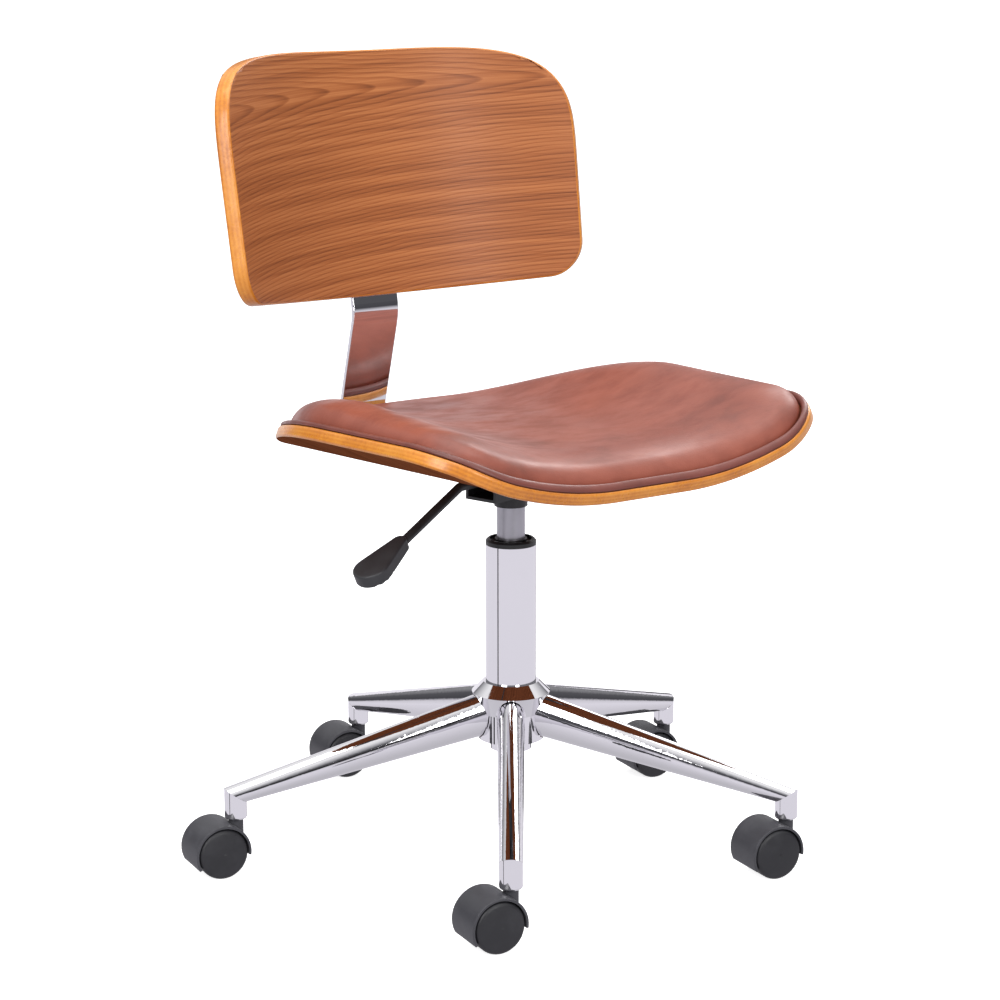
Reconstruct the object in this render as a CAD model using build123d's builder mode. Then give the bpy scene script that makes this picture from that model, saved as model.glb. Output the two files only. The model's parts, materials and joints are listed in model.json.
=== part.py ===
from build123d import *
import math
import os

# Office chair: bent plywood seat and back on a chromed five-leg swivel base with twin-wheel casters.
# Millimetres, +Z up, the floor is Z = 0 and the column axis is the Z axis.
# The sitter faces -Y, and the height lever is at the sitter's right, towards -X.

# Fits
RUN = 0.05  # radial clearance of a fit that turns or slides
SNUG = 0.05  # gap at faces that are pressed, welded or bolted together
AIR = 0.4  # gap between faces that pass each other

# Casters
WHEEL_DIAMETER = 50.0
WHEEL_WIDTH = 19.5
WHEEL_ROUND = 5.0
WHEEL_DOME = 2.6  # how far the outer face swells past its rim
WEB_WIDTH = 10.0
WEB_RADIUS = 17.0
HOOD_GAP = 1.0
HOOD_WALL = 2.4
HOOD_WIDTH = 44.0
HOOD_ROUND = 0.8
HOOD_START = -8.0  # lower edge of the hood on the stem's side
HOOD_SWEEP = 216.0
CASTER_TRAIL = 21.0
CASTER_HEADING = 171.0  # direction from the stem to the wheels, from +X
NECK_DIAMETER = 14.5
STEM_DIAMETER = 11.0
STEM_GRIP = 18.0
STEM_ROOT = 9.0
AXLE_DIAMETER = 6.0
AXLE_SINK = 4.0
STEM_GAP = 0.5
STEM_CHAMFER = 1.1

# Base
LEG_COUNT = 5
FIRST_LEG = 90.0  # direction of the first leg, from +X
BASE_RADIUS = 282.0
SOCKET_DIAMETER = 22.0
SOCKET_FOOT = 53.0
SOCKET_ROUND = 2.5
LEG_ROOT_RADIUS = 29.0
LEG_ROOT_RISE = 135.5
LEG_ROOT_HEIGHT = 45.0
LEG_ROOT_WIDTH = 28.0
LEG_TIP_RISE = 77.0
LEG_TIP_HEIGHT = 20.0
LEG_TIP_WIDTH = 22.0
LEG_WALL = 1.6
HUB_FOOT = 109.0
HUB_HEIGHT = 59.0
HUB_DIAMETER = 65.0
HUB_SHOULDER_DIAMETER = 78.0
HUB_SHOULDER_RISE = 48.0
HUB_FLARE = 20.0
HUB_TOP_LIP = 3.0
HUB_MOUTH_GAP = 0.9  # gap around a leg where it enters the hub
HUB_MOUTH_DEPTH = 3.0

# Gas lift
TUBE_DIAMETER = 50.0
TUBE_WALL = 2.0
TUBE_TOP = 307.0
TUBE_TAPER = 1.75  # taper of the tube inside the hub, on the radius
FOOT_DIAMETER = 41.0
FOOT_DROP = 11.0
FOOT_PLATE = 3.5
BUSH_LIP = 6.0
BUSH_LENGTH = 80.0
BUSH_GROOVE = 3.0
BUSH_NOTCHES = 4
BUSH_NOTCH_WIDTH = 5.0
CYLINDER_DIAMETER = 28.0
CYLINDER_WALL = 2.4
CYLINDER_FOOT = 124.0
CYLINDER_GLAND = 16.0
CYLINDER_CAP = 16.0
CYLINDER_TAPER = 0.9  # taper of the cylinder head, on the radius
CYLINDER_RISE = 6.0  # cylinder head above the mechanism's web
ROD_DIAMETER = 10.0
ROD_SHOULDER = 20.0
ROD_SHOULDER_HEIGHT = 4.0
BEARING_HEIGHT = 6.0
BEARING_DIAMETER = 27.0
CLIP_DIAMETER = 17.0
CLIP_HEIGHT = 1.6
LIFT_STROKE = 100.0
PISTON_HEIGHT = 11.0
PIN_DIAMETER = 8.0
PIN_RISE = 5.5
PIN_LENGTH = 19.0
PIN_ROUND = 1.0
PIN_ROOM = 6.0  # free depth under the valve pin

# Seat mechanism
MECHANISM_TURN = 194.5  # direction of the lever seen from above, from +X
SOCKET_TUBE_DIAMETER = 33.0
SOCKET_TUBE_FOOT = 346.0
SOCKET_FLANGE_DIAMETER = 46.0
SOCKET_FLANGE_HEIGHT = 2.5
CHANNEL_FOOT = 357.5
CHANNEL_WALL = 3.0
CHANNEL_INSIDE = 32.0
CHANNEL_OUT = 46.0
CHANNEL_IN = 34.0
PLATE_WIDTH = 100.0
PLATE_FRONT = 78.0
PLATE_BACK = 112.0
PLATE_WALL = 3.0
PLATE_CORNER = 14.0

# Lever
LEVER_DIAMETER = 9.0
LEVER_PIVOT = 30.0  # distance of the pivot from the column axis
LEVER_DROP = 25.5  # slope of the rod below level
LEVER_BEND = 77.0
LEVER_TIP = 7.0  # how far the finger passes the column axis
LEVER_PADDLE_START = 157.0
LEVER_TONGUE = 20.0
LEVER_BEND_RADIUS = 12.0
LEVER_BOSS_DIAMETER = 12.0
LEVER_BOSS_LENGTH = 20.0
LEVER_PIN_DIAMETER = 6.0
LEVER_PIN_HEAD = 9.0
LEVER_PIN_HEAD_HEIGHT = 2.0
PADDLE_LENGTH = 68.0
PADDLE_NECK_WIDTH = 15.0
PADDLE_WIDTH = 36.0
PADDLE_HEIGHT = 13.0
PADDLE_ROUND = 2.0
GRIP_COUNT = 4
GRIP_PITCH = 7.0
GRIP_RADIUS = 3.0
GRIP_DEPTH = 1.6

# Seat
SEAT_FRONT = 226.0
SEAT_BACK = 232.0
SEAT_WIDTH = 456.0
SEAT_ROUND_MIDDLE = -12.0  # middle of the rounded back half, behind the column axis
SEAT_CORNER = 74.0
SEAT_HEIGHT = 400.0  # top of the plywood over the column axis
SEAT_SLOPE = 0.04  # rise towards the front
SEAT_PLY = 12.5
SEAT_EDGE_ROUND = 2.8
SEAT_WING = 46.0  # how far the sides rise above the middle
WING_START = 40.0
WING_SPAN = 180.0
LIP_START = 200.0
LIP_RATE = 70.0  # drop of the front lip a hundred millimetres past its start
PAD_INSET = 10.5
PAD_EDGE = 17.0
PAD_CROWN = 13.0
PAD_ROUND = 9.0
PIPING_INSET = 1.2
PIPING_WIDTH = 8.8
PIPING_HEIGHT = 7.0
PIPING_ROUND = 3.0
SEAT_ROWS = 24  # rows of points that shape the seat, each way
SEAT_TOLERANCE = 0.02
STEEP = 0.5  # a face whose normal rises more than this looks up
DOWN = (0, 0, -1)

# Backrest
BACK_REACH = 248.0  # front face behind the column axis, at the middle of the panel
BACK_RISE = 652.6
BACK_RECLINE = 10.66
BACK_RADIUS = 302.0
BACK_PLY = 15.5
BACK_HALF_ARC = 227.0
BACK_HALF_HEIGHT = 126.0
BACK_SPREAD = 0.018
BACK_ROUND_POWER = 3.45
BACK_LOW_CORNER = 36.0
BACK_LOW_TUCK = 5.0
BACK_POINTS = 9

# Back bar
BAR_WIDTH = 56.0
BAR_THICKNESS = 5.0
BAR_FRONT = 46.0  # start of the bar behind the column axis
BAR_BULGE = 255.5
BAR_BULGE_RISE = 437.0
BAR_SLANT = 0.271  # how far the slant leans back for each millimetre down
BAR_LOW_BEND = 28.0
BAR_HIGH_BEND = 50.0
BAR_TOP = 20.0  # end of the bar below the middle of the panel
BAR_CORNER = 12.0
BAR_EDGE_ROUND = 1.4

# Fasteners
BOLT_DIAMETER = 6.0
BOLT_HEAD = 12.0
BOLT_HEAD_HEIGHT = 3.4
TEE_FLANGE = 18.0
TEE_FLANGE_HEIGHT = 1.5
TEE_BARREL = 8.0
TEE_LENGTH = 9.0
TEE_SINK = 0.5
INSERT_DIAMETER = 10.0
INSERT_LENGTH = 10.0
SEAT_BOLT_X = 76.0
SEAT_BOLT_Y = 150.0
BAR_BOLT_X = 30.0
BAR_BOLT_Y = 32.0
BAR_BOLT_CENTRE = 78.0
BACK_BOLT_X = 30.0
BACK_BOLT_Y = 45.0
BACK_BOLT_DROP = 62.0  # middle of the bolts below the middle of the panel

# Values that follow from the sizes above
wheel_radius = WHEEL_DIAMETER / 2
hub_top = HUB_FOOT + HUB_HEIGHT
tube_radius = TUBE_DIAMETER / 2
tube_foot_radius = tube_radius - TUBE_TAPER
foot_bottom = HUB_FOOT - FOOT_DROP
cylinder_radius = CYLINDER_DIAMETER / 2
web_top = CHANNEL_FOOT + CHANNEL_WALL
cylinder_top = web_top + CYLINDER_RISE
head_radius = cylinder_radius - CYLINDER_TAPER
gland_top = CYLINDER_FOOT + CYLINDER_GLAND
rod_seat = foot_bottom + FOOT_PLATE + BEARING_HEIGHT + 2 * SNUG
piston_foot = gland_top + LIFT_STROKE + AIR
piston_top = piston_foot + PISTON_HEIGHT
pin_top = cylinder_top + PIN_RISE
pivot_rise = pin_top + AIR + LEVER_DIAMETER / 2
leg_angles = [FIRST_LEG + 360.0 / LEG_COUNT * number for number in range(LEG_COUNT)]
recline = math.radians(BACK_RECLINE)

os.makedirs("parts", exist_ok=True)


def save(builder, name):
    """Labels a finished piece and writes it under its name."""
    builder.part.label = name
    export_step(builder.part, f"parts/{name}.step")


def turned(points, plane=Plane.XZ, axis=Axis.Z, mode=Mode.ADD):
    """Turns a closed profile of (radius, height) points about an axis."""
    with BuildSketch(plane) as profile:
        with BuildLine():
            Polyline(*points, close=True)
        make_face()
    revolve(profile.sketch, axis=axis, mode=mode)


def on_circle(radius, angle, height=0.0):
    """Point at a radius and direction about the column axis."""
    turn = math.radians(angle)
    return (radius * math.cos(turn), radius * math.sin(turn), height)


# Base

def leg_size(radius):
    """Middle height, width and height of a leg at a radius."""
    share = (radius - LEG_ROOT_RADIUS) / (BASE_RADIUS - LEG_ROOT_RADIUS)
    rise = LEG_ROOT_RISE + share * (LEG_TIP_RISE - LEG_ROOT_RISE)
    width = LEG_ROOT_WIDTH + share * (LEG_TIP_WIDTH - LEG_ROOT_WIDTH)
    height = LEG_ROOT_HEIGHT + share * (LEG_TIP_HEIGHT - LEG_ROOT_HEIGHT)
    return rise, width, height


def leg_side(angle):
    """Level direction across a leg."""
    turn = math.radians(angle)
    return Vector(-math.sin(turn), math.cos(turn), 0)


def leg_run(angle, start, end, grow, mode=Mode.ADD):
    """Tapered oval run of a leg between two radii, grown on every side."""
    ovals = []
    for radius in (start, end):
        rise, width, height = leg_size(radius)
        middle = on_circle(radius, angle, rise)
        across_leg = Plane(origin=middle, x_dir=leg_side(angle), z_dir=on_circle(1, angle))
        with BuildSketch(across_leg) as oval:
            Ellipse(width / 2 + grow, height / 2 + grow)
        ovals.append(oval.sketch)
    loft(ovals, ruled=True, mode=mode)


def mitre_plane(angle):
    """Slanted plane where a leg meets its caster socket, facing the socket."""
    inner = BASE_RADIUS - SOCKET_DIAMETER / 2
    outer = BASE_RADIUS + SOCKET_DIAMETER / 2
    low_rise, _, low_height = leg_size(inner)
    high_rise, _, high_height = leg_size(outer)
    low = Vector(*on_circle(inner, angle, low_rise - low_height / 2))
    high = Vector(*on_circle(outer, angle, high_rise + high_height / 2))
    return Plane(origin=low, x_dir=leg_side(angle), z_dir=leg_side(angle).cross(high - low))


leg_end = BASE_RADIUS + SOCKET_DIAMETER
for number, angle in enumerate(leg_angles, start=1):
    with BuildPart() as base_leg:
        leg_run(angle, LEG_ROOT_RADIUS, leg_end, 0)
        leg_run(angle, LEG_ROOT_RADIUS, leg_end, -LEG_WALL, Mode.SUBTRACT)
        split(bisect_by=mitre_plane(angle).offset(-SNUG), keep=Keep.BOTTOM)
    save(base_leg, f"base_leg_{number}")

stubs = []
for angle in leg_angles:
    stub_plane = Plane(on_circle(BASE_RADIUS, angle, SOCKET_FOOT))
    with BuildPart() as stub:
        with BuildSketch(stub_plane):
            Circle(SOCKET_DIAMETER / 2)
        extrude(amount=LEG_TIP_RISE + LEG_TIP_HEIGHT - SOCKET_FOOT)
        fillet(stub.edges().sort_by(Axis.Z)[0], SOCKET_ROUND)
        split(bisect_by=mitre_plane(angle), keep=Keep.TOP)
        with BuildSketch(stub_plane):
            Circle(STEM_DIAMETER / 2 + RUN)
        extrude(amount=STEM_GRIP + AIR, mode=Mode.SUBTRACT)
    stubs.append(stub.part)
with BuildPart() as caster_sockets:
    for finished_stub in stubs:
        add(finished_stub)
save(caster_sockets, "caster_sockets")

hub_radius = HUB_DIAMETER / 2
with BuildPart() as base_hub:
    turned([
        (0, HUB_FOOT),
        (hub_radius, HUB_FOOT),
        (hub_radius, HUB_FOOT + HUB_SHOULDER_RISE - HUB_FLARE),
        (HUB_SHOULDER_DIAMETER / 2, HUB_FOOT + HUB_SHOULDER_RISE),
        (tube_radius + HUB_TOP_LIP, hub_top),
        (0, hub_top),
    ])
    for angle in leg_angles:
        leg_run(angle, LEG_ROOT_RADIUS - SNUG, BASE_RADIUS, SNUG, Mode.SUBTRACT)
        leg_run(angle, hub_radius - HUB_MOUTH_DEPTH, BASE_RADIUS, HUB_MOUTH_GAP, Mode.SUBTRACT)
    turned([
        (0, HUB_FOOT - TUBE_WALL),
        (tube_foot_radius + SNUG, HUB_FOOT - TUBE_WALL),
        (tube_foot_radius + SNUG, HUB_FOOT),
        (tube_radius + SNUG, hub_top),
        (0, hub_top),
    ], mode=Mode.SUBTRACT)
save(base_hub, "base_hub")

# Gas lift

with BuildPart() as lift_tube:
    turned([
        (ROD_DIAMETER / 2 + RUN, foot_bottom),
        (FOOT_DIAMETER / 2, foot_bottom),
        (FOOT_DIAMETER / 2, HUB_FOOT - TUBE_WALL),
        (tube_foot_radius, HUB_FOOT),
        (tube_radius, hub_top),
        (tube_radius, TUBE_TOP),
        (tube_radius - TUBE_WALL, TUBE_TOP),
        (tube_radius - TUBE_WALL, hub_top),
        (tube_foot_radius - TUBE_WALL, HUB_FOOT),
        (FOOT_DIAMETER / 2 - TUBE_WALL, HUB_FOOT - TUBE_WALL),
        (FOOT_DIAMETER / 2 - TUBE_WALL, foot_bottom + FOOT_PLATE),
        (ROD_DIAMETER / 2 + RUN, foot_bottom + FOOT_PLATE),
    ])
save(lift_tube, "lift_tube")

bush_radius = tube_radius - TUBE_WALL - SNUG
bush_bore = cylinder_radius + RUN
with BuildPart() as lift_guide_bush:
    turned([
        (bush_bore, TUBE_TOP - BUSH_LENGTH),
        (bush_radius, TUBE_TOP - BUSH_LENGTH),
        (bush_radius, TUBE_TOP + SNUG),
        (tube_radius, TUBE_TOP + SNUG),
        (tube_radius, TUBE_TOP + BUSH_LIP - TUBE_WALL),
        (tube_radius - TUBE_WALL, TUBE_TOP + BUSH_LIP),
        (bush_radius - TUBE_WALL, TUBE_TOP + BUSH_LIP),
        (bush_radius - TUBE_WALL, TUBE_TOP + BUSH_LIP - BUSH_GROOVE),
        (bush_bore + TUBE_WALL, TUBE_TOP + BUSH_LIP - BUSH_GROOVE),
        (bush_bore + TUBE_WALL, TUBE_TOP + BUSH_LIP),
        (bush_bore, TUBE_TOP + BUSH_LIP),
    ])
    with BuildSketch(Plane.XY.offset(TUBE_TOP + BUSH_LIP - BUSH_GROOVE)):
        with PolarLocations(bush_radius - TUBE_WALL, BUSH_NOTCHES):
            Rectangle(2 * TUBE_WALL, BUSH_NOTCH_WIDTH)
    extrude(amount=BUSH_LIP, mode=Mode.SUBTRACT)
save(lift_guide_bush, "lift_guide_bush")

with BuildPart() as thrust_bearing:
    turned([
        (ROD_DIAMETER / 2 + AIR, foot_bottom + FOOT_PLATE + SNUG),
        (BEARING_DIAMETER / 2, foot_bottom + FOOT_PLATE + SNUG),
        (BEARING_DIAMETER / 2, foot_bottom + FOOT_PLATE + SNUG + BEARING_HEIGHT),
        (ROD_DIAMETER / 2 + AIR, foot_bottom + FOOT_PLATE + SNUG + BEARING_HEIGHT),
    ])
save(thrust_bearing, "thrust_bearing")

with BuildPart() as piston_rod:
    turned([
        (0, foot_bottom - SNUG - 2 * CLIP_HEIGHT),
        (ROD_DIAMETER / 2, foot_bottom - SNUG - 2 * CLIP_HEIGHT),
        (ROD_DIAMETER / 2, rod_seat),
        (ROD_SHOULDER / 2, rod_seat),
        (ROD_SHOULDER / 2, rod_seat + ROD_SHOULDER_HEIGHT),
        (ROD_DIAMETER / 2, rod_seat + ROD_SHOULDER_HEIGHT),
        (ROD_DIAMETER / 2, piston_top + CLIP_HEIGHT),
        (0, piston_top + CLIP_HEIGHT),
    ])
save(piston_rod, "piston_rod")

with BuildPart() as lift_piston:
    turned([
        (ROD_DIAMETER / 2 + SNUG, piston_foot),
        (cylinder_radius - CYLINDER_WALL - RUN, piston_foot),
        (cylinder_radius - CYLINDER_WALL - RUN, piston_top),
        (ROD_DIAMETER / 2 + SNUG, piston_top),
    ])
save(lift_piston, "lift_piston")

with BuildPart() as rod_clip:
    turned([
        (ROD_DIAMETER / 2 + SNUG, foot_bottom - SNUG - CLIP_HEIGHT),
        (CLIP_DIAMETER / 2, foot_bottom - SNUG - CLIP_HEIGHT),
        (CLIP_DIAMETER / 2, foot_bottom - SNUG),
        (ROD_DIAMETER / 2 + SNUG, foot_bottom - SNUG),
    ])
save(rod_clip, "rod_clip")

bore_radius = cylinder_radius - CYLINDER_WALL
pin_bore = PIN_DIAMETER / 2 + RUN
cap_foot = cylinder_top - CYLINDER_CAP
pin_foot = pin_top - PIN_LENGTH
with BuildPart() as lift_cylinder:
    turned([
        (ROD_DIAMETER / 2 + RUN, CYLINDER_FOOT),
        (cylinder_radius, CYLINDER_FOOT),
        (cylinder_radius, SOCKET_TUBE_FOOT),
        (head_radius, cylinder_top),
        (pin_bore, cylinder_top),
        (pin_bore, cap_foot - PIN_ROOM),
        (bore_radius, cap_foot - PIN_ROOM),
        (bore_radius, gland_top),
        (ROD_DIAMETER / 2 + RUN, gland_top),
    ])
save(lift_cylinder, "lift_cylinder")

with BuildPart() as release_pin:
    with BuildSketch(Plane.XY.offset(pin_foot)):
        Circle(PIN_DIAMETER / 2)
    extrude(amount=PIN_LENGTH)
    fillet(release_pin.edges().sort_by(Axis.Z)[-1], PIN_ROUND)
save(release_pin, "release_pin")

# Seat planes: the middle of the seat is flat along Y and rises towards the front

seat_plane = Plane(origin=(0, 0, SEAT_HEIGHT), x_dir=(1, 0, 0), z_dir=(0, SEAT_SLOPE, 1))
plate_plane = seat_plane.offset(-SEAT_PLY - SNUG)
plate_under = plate_plane.offset(-PLATE_WALL)
bar_plane = plate_under.offset(-SNUG)
mechanism_turn = math.radians(MECHANISM_TURN)
mechanism_plane = Plane(
    origin=(0, 0, 0), x_dir=(math.cos(mechanism_turn), math.sin(mechanism_turn), 0), z_dir=(0, 0, 1)
)


def height_on(plane, y):
    """Height of a seat plane at a place along Y on the centre line."""
    return plane.origin.Z - SEAT_SLOPE * (y - plane.origin.Y)


# Seat mechanism

def grip_radius(height):
    """Radius of the tapered cylinder head at a height, with the gap of its seat."""
    share = (height - SOCKET_TUBE_FOOT) / (cylinder_top - SOCKET_TUBE_FOOT)
    return cylinder_radius - CYLINDER_TAPER * share + SNUG


flange_foot = CHANNEL_FOOT - SNUG - SOCKET_FLANGE_HEIGHT
socket_radius = SOCKET_TUBE_DIAMETER / 2
with BuildPart() as taper_socket:
    turned([
        (grip_radius(SOCKET_TUBE_FOOT), SOCKET_TUBE_FOOT),
        (socket_radius, SOCKET_TUBE_FOOT),
        (socket_radius, flange_foot),
        (SOCKET_FLANGE_DIAMETER / 2, flange_foot),
        (SOCKET_FLANGE_DIAMETER / 2, CHANNEL_FOOT - SNUG),
        (socket_radius, CHANNEL_FOOT - SNUG),
        (socket_radius, web_top),
        (grip_radius(web_top), web_top),
    ])
save(taper_socket, "taper_socket")

channel_width = CHANNEL_INSIDE + 2 * CHANNEL_WALL
channel_length = CHANNEL_OUT + CHANNEL_IN
channel_middle = (CHANNEL_OUT - CHANNEL_IN) / 2
pivot_plane = Plane(
    origin=mechanism_plane.from_local_coords((LEVER_PIVOT, 0, pivot_rise)),
    x_dir=mechanism_plane.x_dir,
    z_dir=mechanism_plane.y_dir,
)
with BuildPart() as mechanism_channel:
    with BuildSketch(mechanism_plane.offset(CHANNEL_FOOT)):
        with Locations((channel_middle, 0)):
            Rectangle(channel_length, channel_width)
    extrude(amount=SEAT_HEIGHT - CHANNEL_FOOT)
    with BuildSketch(mechanism_plane.offset(web_top)):
        with Locations((channel_middle, 0)):
            Rectangle(channel_length, CHANNEL_INSIDE)
    extrude(amount=SEAT_HEIGHT - CHANNEL_FOOT, mode=Mode.SUBTRACT)
    with BuildSketch(mechanism_plane.offset(CHANNEL_FOOT)):
        Circle(socket_radius + SNUG)
    extrude(amount=CHANNEL_WALL, mode=Mode.SUBTRACT)
    with BuildSketch(pivot_plane):
        Circle(LEVER_PIN_DIAMETER / 2 + SNUG)
    extrude(amount=channel_width, both=True, mode=Mode.SUBTRACT)
    split(bisect_by=bar_plane, keep=Keep.BOTTOM)
save(mechanism_channel, "mechanism_channel")

with BuildPart() as lever_pin:
    with BuildSketch(pivot_plane):
        Circle(LEVER_PIN_DIAMETER / 2)
    extrude(amount=channel_width / 2 + SNUG, both=True)
    for side in (-1, 1):
        head_plane = pivot_plane.offset(side * (channel_width / 2 + SNUG))
        with BuildSketch(head_plane):
            Circle(LEVER_PIN_HEAD / 2)
        extrude(amount=side * LEVER_PIN_HEAD_HEIGHT)
save(lever_pin, "lever_pin")

# Lever

lever_drop = math.radians(LEVER_DROP)
rod_plane = Plane(origin=(0, 0, 0), x_dir=mechanism_plane.x_dir, z_dir=-mechanism_plane.y_dir)
tongue_end = LEVER_PADDLE_START + LEVER_TONGUE * math.cos(lever_drop)
with BuildPart() as lever_rod:
    with BuildLine(rod_plane) as rod_path:
        FilletPolyline(
            (-LEVER_TIP, pivot_rise),
            (LEVER_BEND, pivot_rise),
            (tongue_end, pivot_rise - math.tan(lever_drop) * (tongue_end - LEVER_BEND)),
            radius=LEVER_BEND_RADIUS,
        )
    with BuildSketch(Plane(origin=rod_path.line @ 0, z_dir=rod_path.line % 0)):
        Circle(LEVER_DIAMETER / 2)
    sweep()
    with BuildSketch(pivot_plane):
        Circle(LEVER_BOSS_DIAMETER / 2)
    extrude(amount=LEVER_BOSS_LENGTH / 2, both=True)
    with BuildSketch(pivot_plane):
        Circle(LEVER_PIN_DIAMETER / 2 + RUN)
    extrude(amount=LEVER_BOSS_LENGTH, both=True, mode=Mode.SUBTRACT)
save(lever_rod, "lever_rod")

paddle_rise = pivot_rise - math.tan(lever_drop) * (LEVER_PADDLE_START - LEVER_BEND)
paddle_plane = Plane(
    origin=mechanism_plane.from_local_coords((LEVER_PADDLE_START, 0, paddle_rise)),
    x_dir=mechanism_plane.from_local_coords((math.cos(lever_drop), 0, -math.sin(lever_drop))),
    z_dir=mechanism_plane.from_local_coords((math.sin(lever_drop), 0, math.cos(lever_drop))),
)
with BuildPart() as lever_paddle:
    with BuildSketch(paddle_plane):
        with Locations((PADDLE_NECK_WIDTH / 2, 0)):
            Circle(PADDLE_NECK_WIDTH / 2)
        with Locations((PADDLE_LENGTH - PADDLE_WIDTH / 2, 0)):
            Circle(PADDLE_WIDTH / 2)
        make_hull()
    extrude(amount=PADDLE_HEIGHT / 2, both=True)
    rims = lever_paddle.faces().filter_by(Axis(paddle_plane.origin, paddle_plane.z_dir))
    fillet(rims.edges(), PADDLE_ROUND)
    grip_rise = -PADDLE_HEIGHT / 2 - GRIP_RADIUS + GRIP_DEPTH
    for step in range(GRIP_COUNT):
        grip_place = PADDLE_LENGTH - (step + 1) * GRIP_PITCH
        grip_plane = Plane(
            origin=paddle_plane.from_local_coords((grip_place, 0, grip_rise)),
            x_dir=paddle_plane.x_dir,
            z_dir=paddle_plane.y_dir,
        )
        with BuildSketch(grip_plane):
            Circle(GRIP_RADIUS)
        extrude(amount=PADDLE_WIDTH, both=True, mode=Mode.SUBTRACT)
    with BuildSketch(Plane(paddle_plane.origin, x_dir=paddle_plane.y_dir, z_dir=paddle_plane.x_dir)):
        Circle(LEVER_DIAMETER / 2 + SNUG)
    extrude(amount=LEVER_TONGUE + SNUG, mode=Mode.SUBTRACT)
save(lever_paddle, "lever_paddle")

# Seat shell and upholstery

seat_half = SEAT_WIDTH / 2 + PAD_INSET
seat_length = SEAT_FRONT + SEAT_BACK + 2 * PAD_INSET
seat_stations = [seat_length * step / SEAT_ROWS - SEAT_FRONT - PAD_INSET for step in range(SEAT_ROWS + 1)]
seat_columns = [seat_half * (2 * step / SEAT_ROWS - 1) for step in range(SEAT_ROWS + 1)]
pad_middle = (SEAT_BACK - SEAT_FRONT) / 2
pad_reach = (SEAT_BACK + SEAT_FRONT) / 2 - PAD_INSET
pad_half = SEAT_WIDTH / 2 - PAD_INSET


def ply_rise(y):
    """Height of the top of the plywood on the centre line."""
    past_lip = max(0.0, -y - LIP_START) / 100
    return SEAT_HEIGHT - SEAT_SLOPE * y - LIP_RATE * past_lip**2


def ply_wing(x):
    """How far the plywood rises beside the centre line."""
    reach = max(0.0, abs(x) - WING_START) / WING_SPAN
    return SEAT_WING * reach**2


def pad_swell(place, middle, reach):
    """Share of the pad's crown left at a place, falling to nothing at the rim."""
    share = min(1.0, abs(place - middle) / reach)
    return 1 - share**4


def seat_face(lift, crown):
    """Surface over the whole seat that follows the plywood at a lift above it."""
    rows = []
    for y in seat_stations:
        swell = crown * pad_swell(y, pad_middle, pad_reach)
        row = []
        for x in seat_columns:
            rise = ply_rise(y) + ply_wing(x) + lift + swell * pad_swell(x, 0, pad_half)
            row.append((x, y, rise))
        rows.append(row)
    return Face.make_surface_from_array_of_points(rows, tol=SEAT_TOLERANCE)


def seat_plan(inset):
    """Outline of the seat seen from above, drawn in on every side."""
    half = SEAT_WIDTH / 2 - inset
    front = -SEAT_FRONT + inset
    with BuildSketch() as plan:
        with BuildLine():
            EllipticalCenterArc(
                center=(0, SEAT_ROUND_MIDDLE),
                x_radius=half,
                y_radius=SEAT_BACK - SEAT_ROUND_MIDDLE - inset,
                start_angle=0,
                arc_size=180,
            )
            FilletPolyline(
                (-half, SEAT_ROUND_MIDDLE),
                (-half, front),
                (half, front),
                (half, SEAT_ROUND_MIDDLE),
                radius=SEAT_CORNER - inset,
            )
        make_face()
    return plan.sketch


layer_room = 2 * SEAT_HEIGHT
pad_depth = PAD_EDGE + PAD_CROWN + SEAT_PLY
seat_bolt_middle = (PLATE_BACK - PLATE_FRONT) / 2
seat_bolt_places = GridLocations(SEAT_BOLT_X, SEAT_BOLT_Y, 2, 2).locations
bolt_points = [(place.position.X, place.position.Y + seat_bolt_middle) for place in seat_bolt_places]
bar_bolt_places = GridLocations(BAR_BOLT_X, BAR_BOLT_Y, 2, 2).locations
bar_points = [(place.position.X, place.position.Y + BAR_BOLT_CENTRE) for place in bar_bolt_places]
tee_plane = seat_plane.offset(-TEE_SINK)


def post(plane, points, diameter, amount, mode=Mode.ADD):
    """Round posts or holes at points of a plane."""
    with BuildSketch(plane) as rounds:
        with Locations(*points):
            Circle(diameter / 2)
    extrude(rounds.sketch, amount=amount, mode=mode)


def upper_face(layer):
    """Large face on top of a layer of the seat."""
    return layer.faces().filter_by(lambda face: face.normal_at().Z > STEEP).sort_by(SortBy.AREA)[-1]


with BuildPart() as seat_form:
    extrude(seat_face(0, 0), amount=SEAT_PLY, dir=DOWN)
    extrude(seat_plan(0), amount=layer_room, mode=Mode.INTERSECT)
with BuildPart() as seat_shell:
    thicken(upper_face(seat_form), amount=-SEAT_PLY)
    fillet(upper_face(seat_shell).edges(), SEAT_EDGE_ROUND)
    post(tee_plane, bolt_points + bar_points, TEE_BARREL + 2 * SNUG, -2 * SEAT_PLY, Mode.SUBTRACT)
    tee_floor = tee_plane.offset(-TEE_FLANGE_HEIGHT - SNUG)
    post(tee_floor, bolt_points + bar_points, TEE_FLANGE + 2 * SNUG, SEAT_PLY, Mode.SUBTRACT)
save(seat_shell, "seat_shell")

with BuildPart() as seat_pad:
    extrude(seat_face(PAD_EDGE, PAD_CROWN), amount=pad_depth, dir=DOWN)
    extrude(seat_face(SNUG, 0), amount=2 * pad_depth, dir=DOWN, mode=Mode.SUBTRACT)
    extrude(seat_plan(PAD_INSET), amount=layer_room, mode=Mode.INTERSECT)
    fillet(upper_face(seat_pad).edges(), PAD_ROUND)
save(seat_pad, "seat_pad")

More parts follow.
